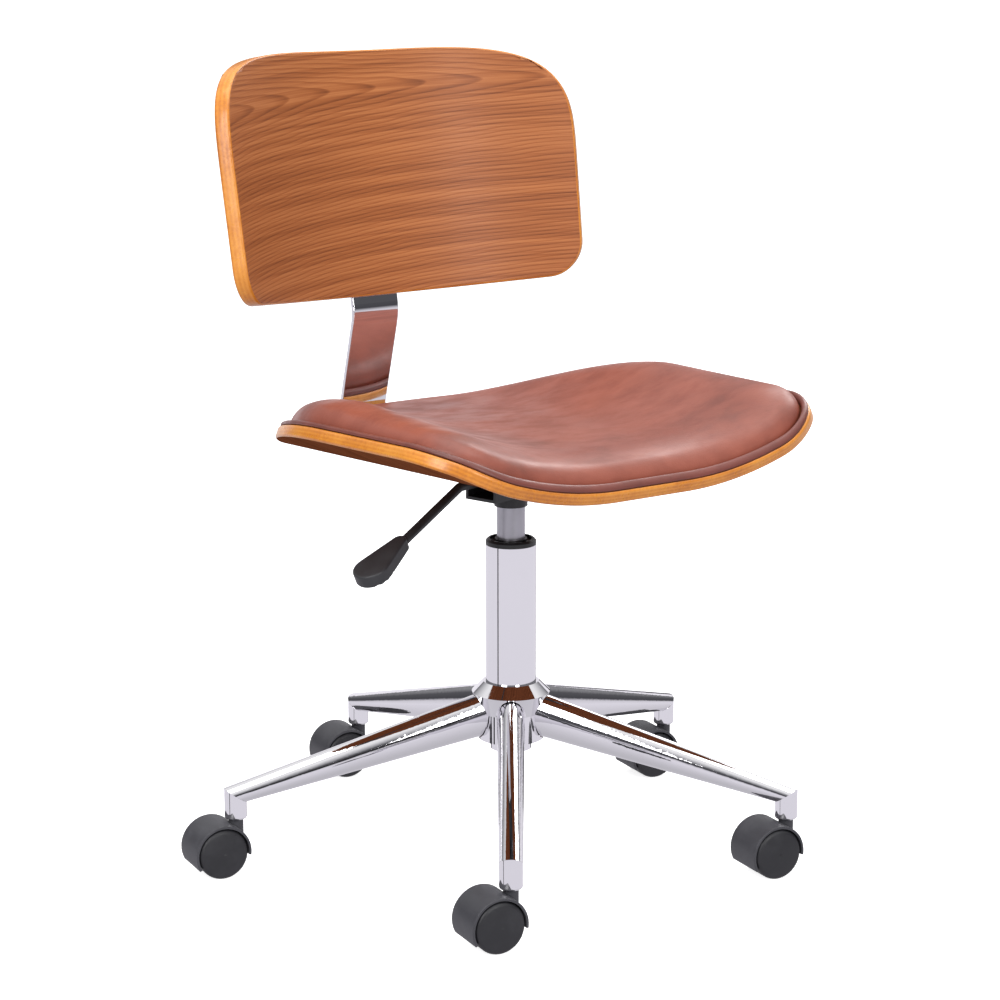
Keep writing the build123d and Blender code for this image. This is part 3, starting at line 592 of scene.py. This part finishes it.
@dataclass(frozen=True)
class Leather:
    """Coated leather, mottled and rubbed lighter, with a fine pebble."""

    name: str
    light: Colour
    middle: Colour
    dark: Colour
    tone_places: Point = (0.08, 0.45, 0.95)
    rough: Pair = (0.30, 0.44)
    rough_span: Pair = (0.3, 0.7)
    gloss: float = 0.5
    lay: float = -0.6
    stretch: Point = (1.0, 1.7, 1.0)
    mottle_scale: float = 9.0
    mottle_span: Pair = (0.32, 0.72)
    mottle_share: float = 0.45
    smear_scale: float = 24.0
    smear_detail: float = 5.0
    smear_rough: float = 0.6
    smear_span: Pair = (0.35, 0.75)
    smear_share: float = 0.35
    pebble_scale: float = 620.0
    pebble_height: float = 0.7
    crease_scale: float = 240.0
    crease_detail: float = 3.0
    crease_height: float = 0.5
    grain_depth: float = 0.00022
    grain_strength: float = 0.45

    def material(self) -> bpy.types.Material:
        """Makes the leather.

        Returns:
            The material.
        """
        board = Board(bpy.data.materials.new(self.name))
        lying = board.place(scale=self.stretch, turn=(0.0, 0.0, self.lay))
        mottle = board.noise(lying, self.mottle_scale)
        smear = board.noise(lying, self.smear_scale, self.smear_detail, self.smear_rough)
        where = board.place()
        pebble = board.node("TexVoronoi", {}, {"Vector": where, "Scale": self.pebble_scale}, "Distance")
        crease = board.noise(where, self.crease_scale, self.crease_detail)
        grain = pebble * self.pebble_height + crease * self.crease_height
        tone = board.band(mottle, self.mottle_span) * self.mottle_share
        tone = tone + board.band(smear, self.smear_span) * self.smear_share
        return board.finish({
            "Base Color": board.ramp(tone, list(zip(self.tone_places, (self.light, self.middle, self.dark)))),
            "Roughness": board.band(smear, self.rough_span, self.rough),
            "Specular IOR Level": self.gloss,
            "Normal": board.bump(grain, self.grain_depth, self.grain_strength),
        })


@dataclass
class SeatForm:
    """Form of the bent seat: dished across, round behind and square with soft corners in front.

    Lengths are in metres. The fades are powers that keep the outline's rounding near the rim.
    """

    front: float = 0.226
    back: float = 0.232
    width: float = 0.456
    round_middle: float = -0.012
    corner: float = 0.074
    least_corner: float = 0.01
    height: float = 0.400
    slope: float = 0.04
    wing: float = 0.046
    wing_start: float = 0.040
    wing_span: float = 0.180
    lip_start: float = 0.200
    lip_rate: float = 7.0
    round_fade: int = 2
    corner_fade: int = 6
    probe: float = 0.001

    def top(self, x: float, y: float) -> float:
        """Height of the top of the plywood.

        Args:
            x: Place across.
            y: Place along, positive behind.

        Returns:
            The height above the floor.
        """
        past = max(0.0, -y - self.lip_start)
        reach = max(0.0, abs(x) - self.wing_start) / self.wing_span
        return self.height - self.slope * y - self.lip_rate * past**2 + self.wing * reach**2

    def normal(self, x: float, y: float) -> Vector:
        """Upward direction square to the plywood.

        Args:
            x: Place across.
            y: Place along, positive behind.

        Returns:
            The direction, of length 1.
        """
        step = self.probe
        along = (self.top(x + step, y) - self.top(x - step, y)) / (2 * step)
        across = (self.top(x, y + step) - self.top(x, y - step)) / (2 * step)
        return Vector((-along, -across, 1.0)).normalized()

    def half_sizes(self, behind: bool, inset: float) -> Pair:
        """Half width and length of the back or front half, drawn in from the outline."""
        reach = self.back - self.round_middle if behind else self.front + self.round_middle
        return (self.width / 2 - inset, reach - inset)

    def plan(self, u: float, v: float, inset: float) -> Pair:
        """Place in plan of a point of the unit square, drawn in from the outline.

        Args:
            u: Share of the half width.
            v: Share of the half length, positive behind.
            inset: Distance from the outline.

        Returns:
            The x and y of the point.
        """
        half = self.half_sizes(v >= 0, inset)
        out = max(abs(u), abs(v))
        pull = 1.0
        if out > 0 and v >= 0:
            pull = 1 + (out / math.hypot(u, v) - 1) * out**self.round_fade
        elif out > 0:
            reach = rounded_reach(u / out, v / out, half, max(self.corner - inset, self.least_corner))
            pull = 1 + (reach - 1) * out**self.corner_fade
        return (half[0] * u * pull, half[1] * v * pull + self.round_middle)

    def rim_distance(self, x: float, y: float, inset: float) -> float:
        """Distance in plan from a place inside to the drawn-in outline.

        Args:
            x: Place across.
            y: Place along, positive behind.
            inset: How far the outline is drawn in.

        Returns:
            The distance, 0 on the outline.
        """
        run = y - self.round_middle
        half = self.half_sizes(run >= 0, inset)
        if run >= 0:
            share = math.hypot(x / half[0], run / half[1])
            steep = math.hypot(x / half[0] ** 2, run / half[1] ** 2)
            return max(0.0, (1 - share) * share / steep) if steep > 0 else min(half)
        corner = self.corner - inset
        side = abs(x) - half[0] + corner
        end = abs(run) - half[1] + corner
        beyond = math.hypot(max(side, 0.0), max(end, 0.0)) + min(max(side, end), 0.0)
        return max(0.0, corner - beyond)


@dataclass
class PlySeat:
    """Bent plywood seat shell."""

    form: SeatForm
    ply: float = 0.0125
    arris: float = 0.0028
    columns: int = 84
    rows: int = 76

    def build(self, veneer: bpy.types.Material, edge: bpy.types.Material) -> bpy.types.Object:
        """Builds the shell and dresses its faces and edge.

        Args:
            veneer: Finish of both faces.
            edge: Finish of the rim.

        Returns:
            The shell.
        """
        shape = mapped_sheet(self.columns, self.rows, self.place)
        thicken(shape, lambda point: self.form.normal(point.x, point.y) * -self.ply, self.arris)
        made = piece("seat_plywood", shape, Slot.WOOD, ["seat_shell"], [veneer, edge])
        dress_board(made, self.depth)
        return made

    def place(self, u: float, v: float) -> Point:
        """Point of the shell's top."""
        x, y = self.form.plan(u, v, 0.0)
        return (x, y, self.form.top(x, y))

    def depth(self, point: Vector) -> float:
        """Share of the shell's thickness above a point."""
        return (self.form.top(point.x, point.y) - point.z) * self.form.normal(point.x, point.y).z / self.ply


@dataclass
class SeatCushion:
    """Upholstered pad with a rolled border around it.

    Lengths are in metres. The crown gains crown_side per square metre of distance to the sides and loses
    a share of crown_lean per metre towards the front. crowd draws the rows of faces to the rim.
    """

    form: SeatForm
    inset: float = 0.0096
    lift: float = 0.0006
    edge: float = 0.0130
    roll: float = 0.0170
    crown: float = 0.0200
    crown_side: float = 0.38
    crown_span: float = 0.060
    crown_lean: float = 2.4
    crowd: float = 1.5
    pressure: float = 4.0
    frames: int = 20
    cap: float = 0.004
    columns: int = 104
    rows: int = 94
    border_steps: int = 480
    border_ring: int = 24
    border_middle: float = 0.0050
    border_half: float = 0.0033
    border_height: float = 0.0064
    border_lean: float = 0.40
    border_side: float = 0.9
    border_crest: float = 0.8

    def build(self, leather: bpy.types.Material) -> bpy.types.Object:
        """Builds the pad, swells it as a filled cover and dresses it.

        Args:
            leather: Finish of the cover.

        Returns:
            The pad.
        """
        shape = mapped_sheet(self.columns, self.rows, self.bottom)
        grown = bmesh.ops.extrude_face_region(shape, geom=list(shape.faces))["geom"]
        for vertex in [item for item in grown if isinstance(item, bmesh.types.BMVert)]:
            vertex.co.z += self.thickness(vertex.co.x, vertex.co.y)
        bmesh.ops.recalc_face_normals(shape, faces=list(shape.faces))
        made = piece("seat_cushion", shape, Slot.LEATHER, ["seat_pad"], [leather])
        self.swell(made)
        smooth = made.modifiers.new("smooth_cover", "SUBSURF")
        smooth.levels = smooth.render_levels = 1
        return made

    def bottom(self, u: float, v: float) -> Point:
        """Point of the pad's underside, just above the plywood; rows crowd towards the rim."""
        x, y = self.form.plan(self.crowded(u), self.crowded(v), self.inset)
        return (x, y, self.form.top(x, y) + self.lift)

    def crowded(self, share: float) -> float:
        """Moves a share of the way to the rim further out."""
        return math.copysign(1 - (1 - min(1.0, abs(share))) ** self.crowd, share)

    def thickness(self, x: float, y: float) -> float:
        """Height of the filled pad above the plywood, fuller at the sides and thinner in front.

        Args:
            x: Place across.
            y: Place along, positive behind.

        Returns:
            The height.
        """
        rim = self.form.rim_distance(x, y, self.inset)
        short = max(0.0, 1 - rim / self.roll)
        inward = max(0.0, 1 - rim / self.crown_span)
        crown = (self.crown + self.crown_side * x**2) * (1 + self.crown_lean * min(y, 0.0))
        return self.edge * math.sqrt(1 - short**2) + crown * (1 - inward**2)

    def swell(self, pad: bpy.types.Object) -> None:
        """Fills the cover by simulated pressure and caps how far it moves.

        Args:
            pad: The pad, whose points are moved.
        """
        rest = [vertex.co.copy() for vertex in pad.data.vertices]
        held = pad.vertex_groups.new(name="held")
        low = [vertex.index for vertex in pad.data.vertices if self.rise(vertex.co) < self.edge]
        held.add(low, 1.0, "REPLACE")
        cloth = pad.modifiers.new("filled_cover", "CLOTH")
        cloth.settings.use_pressure = True
        cloth.settings.uniform_pressure_force = self.pressure
        cloth.settings.effector_weights.gravity = 0.0
        cloth.settings.vertex_group_mass = held.name
        for frame in range(1, self.frames + 1):
            bpy.context.scene.frame_set(frame)
        shown = bpy.context.evaluated_depsgraph_get()
        swollen = bpy.data.meshes.new_from_object(pad.evaluated_get(shown))
        pad.modifiers.clear()
        pad.vertex_groups.clear()
        for vertex, start, moved in zip(pad.data.vertices, rest, swollen.vertices):
            step = moved.co - start
            vertex.co = start + step * min(1.0, self.cap / max(step.length, self.cap))
        bpy.data.meshes.remove(swollen)
        bpy.context.scene.frame_set(1)

    def rise(self, point: Vector) -> float:
        """Height of a point above the plywood."""
        return point.z - self.form.top(point.x, point.y)

    def build_border(self, leather: bpy.types.Material) -> bpy.types.Object:
        """Builds the rolled border around the pad.

        Args:
            leather: Finish of the border.

        Returns:
            The border.
        """
        shape = mapped_sheet(self.border_steps, self.border_ring, self.border)
        bmesh.ops.remove_doubles(shape, verts=list(shape.verts), dist=WELD)
        bmesh.ops.recalc_face_normals(shape, faces=list(shape.faces))
        return piece("seat_border", shape, Slot.LEATHER, ["seat_piping"], [leather])

    def border(self, u: float, v: float) -> Point:
        """Point of the border, which is higher on its inner side.

        Args:
            u: Share of the way round the seat, from -1 to 1.
            v: Share of the way round the roll, from -1 to 1.

        Returns:
            The point.
        """
        turn = (v + 1) * math.pi
        side = math.copysign(abs(math.cos(turn)) ** self.border_side, math.cos(turn))
        bulge = abs(math.sin(turn)) ** self.border_crest if math.sin(turn) > 0 else 0.0
        x, y = self.form.plan(*self.walk((u + 1) * 4), self.border_middle + self.border_half * side)
        rise = self.border_height * bulge * (1 - self.border_lean * (1 - side) / 2)
        return (x, y, self.form.top(x, y) + self.lift + rise)

    @staticmethod
    def walk(distance: float) -> Pair:
        """Walks round the outline of the square from -1 to 1.

        Args:
            distance: Length of the walk from the first corner, from 0 to 8.

        Returns:
            The point that is reached.
        """
        side = min(int(distance // 2), 3)
        run = distance - 2 * side - 1
        return [(run, -1.0), (1.0, run), (-run, 1.0), (-1.0, -run)][side]


@dataclass
class PlyBack:
    """Bent plywood backrest, concave towards the sitter.

    Lengths are in metres. power rounds the upper corners, and the fades keep the rounding near the rim.
    """

    reach: float = 0.248
    rise: float = 0.6526
    recline: float = math.radians(10.66)
    radius: float = 0.302
    ply: float = 0.0155
    half_arc: float = 0.227
    half_height: float = 0.126
    spread: float = 0.018
    power: float = 3.45
    top_fade: int = 4
    low_corner: float = 0.036
    low_tuck: float = 0.005
    low_fade: int = 6
    arris: float = 0.0024
    columns: int = 92
    rows: int = 56
    middle: Vector = field(init=False)
    up: Vector = field(init=False)
    backward: Vector = field(init=False)

    def __post_init__(self) -> None:
        """Works out the directions of the leaning panel."""
        self.middle = Vector((0.0, self.reach, self.rise))
        self.up = Vector((0.0, math.sin(self.recline), math.cos(self.recline)))
        self.backward = Vector((0.0, math.cos(self.recline), -math.sin(self.recline)))

    def build(self, veneer: bpy.types.Material, edge: bpy.types.Material) -> bpy.types.Object:
        """Builds the panel and dresses its faces and edge.

        Args:
            veneer: Finish of both faces.
            edge: Finish of the rim.

        Returns:
            The panel.
        """
        shape = mapped_sheet(self.columns, self.rows, self.place)
        thicken(shape, lambda point: self.outward(point) * self.ply, self.arris)
        made = piece("backrest_plywood", shape, Slot.WOOD, ["backrest_panel"], [veneer, edge])
        dress_board(made, self.depth)
        return made

    def place(self, u: float, v: float) -> Point:
        """Point of the panel's front face.

        Args:
            u: Share of the half width, from -1 to 1.
            v: Share of the half height, from -1 to 1.

        Returns:
            The point.
        """
        out = max(abs(u), abs(v))
        pull = 1.0
        if out > 0 and v >= 0:
            reach = ((abs(u) / out) ** self.power + (v / out) ** self.power) ** (-1 / self.power)
            pull = 1 + (reach - 1) * out**self.top_fade
        elif out > 0:
            reach = rounded_reach(u / out, v / out, (self.half_arc, self.half_height), self.low_corner)
            pull = 1 + (reach - 1) * out**self.low_fade
        rise = self.half_height * v * pull
        arc = self.half_arc * u * pull
        if v >= 0:
            arc *= 1 + self.spread * v
        else:
            arc *= 1 + v * self.low_tuck / self.half_arc
        turn = arc / self.radius
        across = self.radius * math.sin(turn)
        depth = self.radius * (1 - math.cos(turn))
        point = self.middle + self.up * rise - self.backward * depth
        return (across, point.y, point.z)

    def axis_offset(self, point: Vector) -> Vector:
        """Vector from the bend's axis to a point, square to that axis."""
        offset = point - (self.middle - self.backward * self.radius)
        return offset - self.up * offset.dot(self.up)

    def outward(self, point: Vector) -> Vector:
        """Direction away from the bend's axis."""
        return self.axis_offset(point).normalized()

    def depth(self, point: Vector) -> float:
        """Share of the panel's thickness in front of a point."""
        return (self.axis_offset(point).length - self.radius) / self.ply


def stage_plane(name: str, size: Pair, finish: bpy.types.Material) -> bpy.types.Object:
    """Makes a flat rectangle that isn't part of the chair.

    Args:
        name: Name of the plane.
        size: Its length and width.
        finish: Its material.

    Returns:
        The plane, lying at the origin.
    """
    shape = bmesh.new()
    bmesh.ops.create_grid(shape, x_segments=1, y_segments=1, size=0.5)
    bmesh.ops.scale(shape, vec=(size[0], size[1], 1.0), verts=list(shape.verts))
    mesh = bpy.data.meshes.new(name)
    shape.to_mesh(mesh)
    shape.free()
    mesh.materials.append(finish)
    made = bpy.data.objects.new(name, mesh)
    bpy.context.scene.collection.objects.link(made)
    return made


@dataclass(frozen=True)
class Lamp:
    """One soft rectangular light."""

    name: str
    place: Point
    target: Point
    size: Pair
    watts: float

    def hang(self) -> None:
        """Hangs the light and turns it to its target."""
        lamp = bpy.data.lights.new(self.name, "AREA")
        lamp.shape = "RECTANGLE"
        lamp.size, lamp.size_y = self.size
        lamp.energy = self.watts
        made = bpy.data.objects.new(self.name, lamp)
        bpy.context.scene.collection.objects.link(made)
        made.location = self.place
        made.rotation_euler = (Vector(self.target) - Vector(self.place)).to_track_quat("-Z", "Y").to_euler()


@dataclass(frozen=True)
class Card:
    """Upright board, black or glowing, that only shows in gloss; turn is in degrees."""

    name: str
    place: Point
    turn: float
    size: Pair
    glow: float = 0.0
    colour: Colour = (0.02, 0.02, 0.022)
    glow_tint: Colour = (1.0, 0.98, 1.03)
    rough: float = 0.9

    def stand(self) -> None:
        """Stands the board at its place."""
        finish = Board(bpy.data.materials.new(self.name)).finish({
            "Base Color": (*self.colour, 1.0),
            "Roughness": self.rough,
            "Emission Color": (*self.glow_tint, 1.0),
            "Emission Strength": self.glow,
        })
        made = stage_plane(self.name, self.size, finish)
        made.rotation_euler = (math.pi / 2, 0.0, math.radians(self.turn))
        made.location = self.place
        made.visible_camera = False
        made.visible_diffuse = False
        made.visible_shadow = False


@dataclass
class Studio:
    """White floor and pale room, soft lights, cards that shade the chrome and the camera.

    room is the strength of the room's light, and room_stops are its colours from straight below to
    straight above. The camera alone sees room_seen.
    """

    azimuth: float = math.radians(36.0)
    pitch: float = 0.216
    distance: float = 2.6475
    eye_height: float = 0.934
    lens: float = 99.27
    sensor: float = 36.0
    shift: Pair = (-0.0109, -0.002)
    floor_size: float = 240.0
    floor_colour: Colour = (0.86, 0.86, 0.87)
    floor_rough: float = 0.8
    floor_glow: float = 0.80
    room: float = 0.80
    room_seen: Colour = (1.3, 1.3, 1.3)
    room_stops: Stops = (
        (0.0, (0.66, 0.65, 0.69)),
        (0.38, (1.0, 0.975, 1.05)),
        (0.46, (0.86, 0.84, 0.90)),
        (0.51, (0.08, 0.08, 0.09)),
        (0.61, (0.12, 0.12, 0.13)),
        (0.72, (0.62, 0.62, 0.64)),
        (0.84, (1.15, 1.15, 1.15)),
    )
    lamps: Sequence[Lamp] = (
        Lamp("window_left", place=(-2.3, -1.0, 1.7), target=(0.0, 0.0, 0.5), size=(1.2, 2.0), watts=36.0),
        Lamp("window_front", place=(-0.30, -2.9, 1.25), target=(0.0, 0.1, 0.55), size=(0.8, 1.7), watts=26.0),
        Lamp("window_right", place=(2.0, 0.9, 1.8), target=(0.0, 0.0, 0.42), size=(1.3, 1.1), watts=17.0),
        Lamp("ceiling", place=(0.0, -0.2, 2.8), target=(0.0, 0.0, 0.4), size=(2.2, 2.2), watts=30.0),
    )
    cards: Sequence[Card] = (
        Card("flag_left", place=(-1.25, 0.15, 0.20), turn=75.0, size=(0.12, 1.7)),
        Card("flag_right", place=(1.05, 0.75, 0.20), turn=-52.0, size=(0.16, 1.7)),
        Card("flag_front", place=(-0.35, -1.6, 0.20), turn=8.0, size=(0.9, 0.30)),
        Card("backdrop", place=(1.76, 2.43, 0.35), turn=-36.0, size=(5.0, 1.4), glow=0.9),
    )

    def build(self) -> None:
        """Sets the stage, the lights and the camera."""
        self.build_floor()
        self.build_room()
        for lamp in self.lamps:
            lamp.hang()
        for card in self.cards:
            card.stand()
        self.build_camera()

    def build_floor(self) -> None:
        """Lays a white floor that only the camera sees, so the room alone lights the chair from below."""
        finish = Board(bpy.data.materials.new("white_floor")).finish({
            "Base Color": (*self.floor_colour, 1.0),
            "Roughness": self.floor_rough,
            "Emission Color": (1.0, 1.0, 1.0, 1.0),
            "Emission Strength": self.floor_glow,
        })
        floor = stage_plane("floor", (self.floor_size, self.floor_size), finish)
        floor.visible_diffuse = False
        floor.visible_glossy = False

    def build_room(self) -> None:
        """Surrounds the chair with a pale room that has a dark band above the horizon."""
        world = bpy.data.worlds.new("white_room")
        bpy.context.scene.world = world
        board = Board(world)
        where = board.node("TexCoord", {}, {}, "Generated")
        height = board.node("SeparateXYZ", {}, {"Vector": where}, "Z")
        walls = board.ramp(height * 0.5 + 0.5, self.room_stops)
        seen = board.node("LightPath", {}, {}, "Is Camera Ray")
        colour = board.mix(seen, walls, self.room_seen)
        board.close("OutputWorld", board.node("Background", {}, {"Color": colour, "Strength": self.room}))
        bpy.context.scene.view_settings.view_transform = "Standard"

    def build_camera(self) -> None:
        """Places the camera of the photograph."""
        lens = bpy.data.cameras.new("camera")
        lens.lens = self.lens
        lens.sensor_width = self.sensor
        lens.shift_x, lens.shift_y = self.shift
        camera = bpy.data.objects.new("camera", lens)
        bpy.context.scene.collection.objects.link(camera)
        side = Vector((math.sin(self.azimuth), math.cos(self.azimuth), 0.0))
        camera.location = side * -self.distance + Vector((0.0, 0.0, self.eye_height))
        look = side * math.cos(self.pitch) - Vector((0.0, 0.0, math.sin(self.pitch)))
        camera.rotation_euler = look.to_track_quat("-Z", "Y").to_euler()
        bpy.context.scene.camera = camera


@dataclass
class CarriedNodes:
    """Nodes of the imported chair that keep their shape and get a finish."""

    nodes: dict[str, bpy.types.Object]

    def dress(self, starts: Sequence[str], finish: bpy.types.Material) -> None:
        """Gives a finish to every node whose name starts with one of the given words.

        Args:
            starts: First letters of the nodes' names.
            finish: Their material.
        """
        for name, node in self.nodes.items():
            if name.startswith(tuple(starts)):
                node.data.materials.clear()
                node.data.materials.append(finish)
                LOG.info("%s: %s", name, finish.name)

    def dress_metal(self) -> None:
        """Dresses the chromed base and bar, the column, the mechanism and the fasteners."""
        steel = Metal("zinc_steel", (0.55, 0.55, 0.57), (0.45, 0.45, 0.47), 1.0, (0.25, 0.42))
        grey = Metal("satin_cylinder", (0.47, 0.46, 0.50), (0.41, 0.41, 0.44), 0.85, (0.28, 0.36))
        black = Metal("black_powder_coat", (0.016, 0.016, 0.017), (0.03, 0.03, 0.032), 0.0, (0.32, 0.46))
        self.dress(["base_", "caster_sockets", "lift_tube", "back_bar"], Chrome().material())
        self.dress(["taper_socket", "mechanism", "seat_plate", "lever_rod"], black.material())
        self.dress(["lift_cylinder"], grey.material())
        inside = ["caster_stem", "caster_axle", "piston", "lift_piston", "rod_clip", "thrust", "release"]
        fasteners = ["lever_pin", "seat_bolts", "seat_tee", "bar_", "backrest_bolts", "backrest_inserts"]
        self.dress(inside + fasteners, steel.material())

    def dress_plastic(self) -> None:
        """Dresses the casters, the lever's paddle and the guide bush."""
        bush = MouldedPlastic("black_plastic", (0.014, 0.014, 0.015), (0.024, 0.024, 0.026), (0.34, 0.48))
        hood = MouldedPlastic("charcoal_nylon", linear(62, 62, 67), linear(74, 74, 79), (0.42, 0.55))
        wheel = MouldedPlastic("wheel_nylon", linear(34, 34, 38), linear(44, 44, 48), (0.40, 0.52))
        paddle = MouldedPlastic("paddle_plastic", linear(50, 50, 53), linear(60, 60, 63), (0.38, 0.50))
        self.dress(["caster_hood"], hood.material())
        self.dress(["caster_wheel"], wheel.material())
        self.dress(["lever_paddle"], paddle.material())
        self.dress(["lift_guide_bush"], bush.material())


def main() -> None:
    """Builds the chair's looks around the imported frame."""
    logging.basicConfig(level=logging.INFO, format="%(message)s")
    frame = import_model()
    Studio().build()

    carried = CarriedNodes(frame["nodes"])
    carried.dress_metal()
    carried.dress_plastic()

    edge = PlyEdge().material()
    back_veneer = Walnut("walnut_back", heart=(0.0, 0.0, -0.735), turn=(0.0, 0.05, 0.0))
    # Same walnut as the backrest, with its light, middle and dark colours darkened to paint the shade that
    # falls under the seat.
    seat_veneer_painted_shade = Walnut(
        "walnut_seat_painted_shade",
        heart=(0.0, 0.0, -0.30),
        turn=(math.pi / 2, 0.0, 0.0),
        light=linear(142, 84, 54),
        middle=linear(120, 68, 42),
        dark=linear(88, 48, 30),
        gloss=0.0,
        coat=0.0,
    )
    cover = Leather("chestnut_leather", linear(152, 82, 64), linear(136, 70, 54), linear(106, 54, 43))
    roll = Leather("border_leather", linear(126, 70, 61), linear(110, 60, 52), linear(84, 45, 40))

    form = SeatForm()
    PlySeat(form).build(seat_veneer_painted_shade.material(), edge)
    cushion = SeatCushion(form)
    cushion.build(cover.material())
    cushion.build_border(roll.material())
    PlyBack().build(back_veneer.material(), edge)


if __name__ == "__main__":
    main()
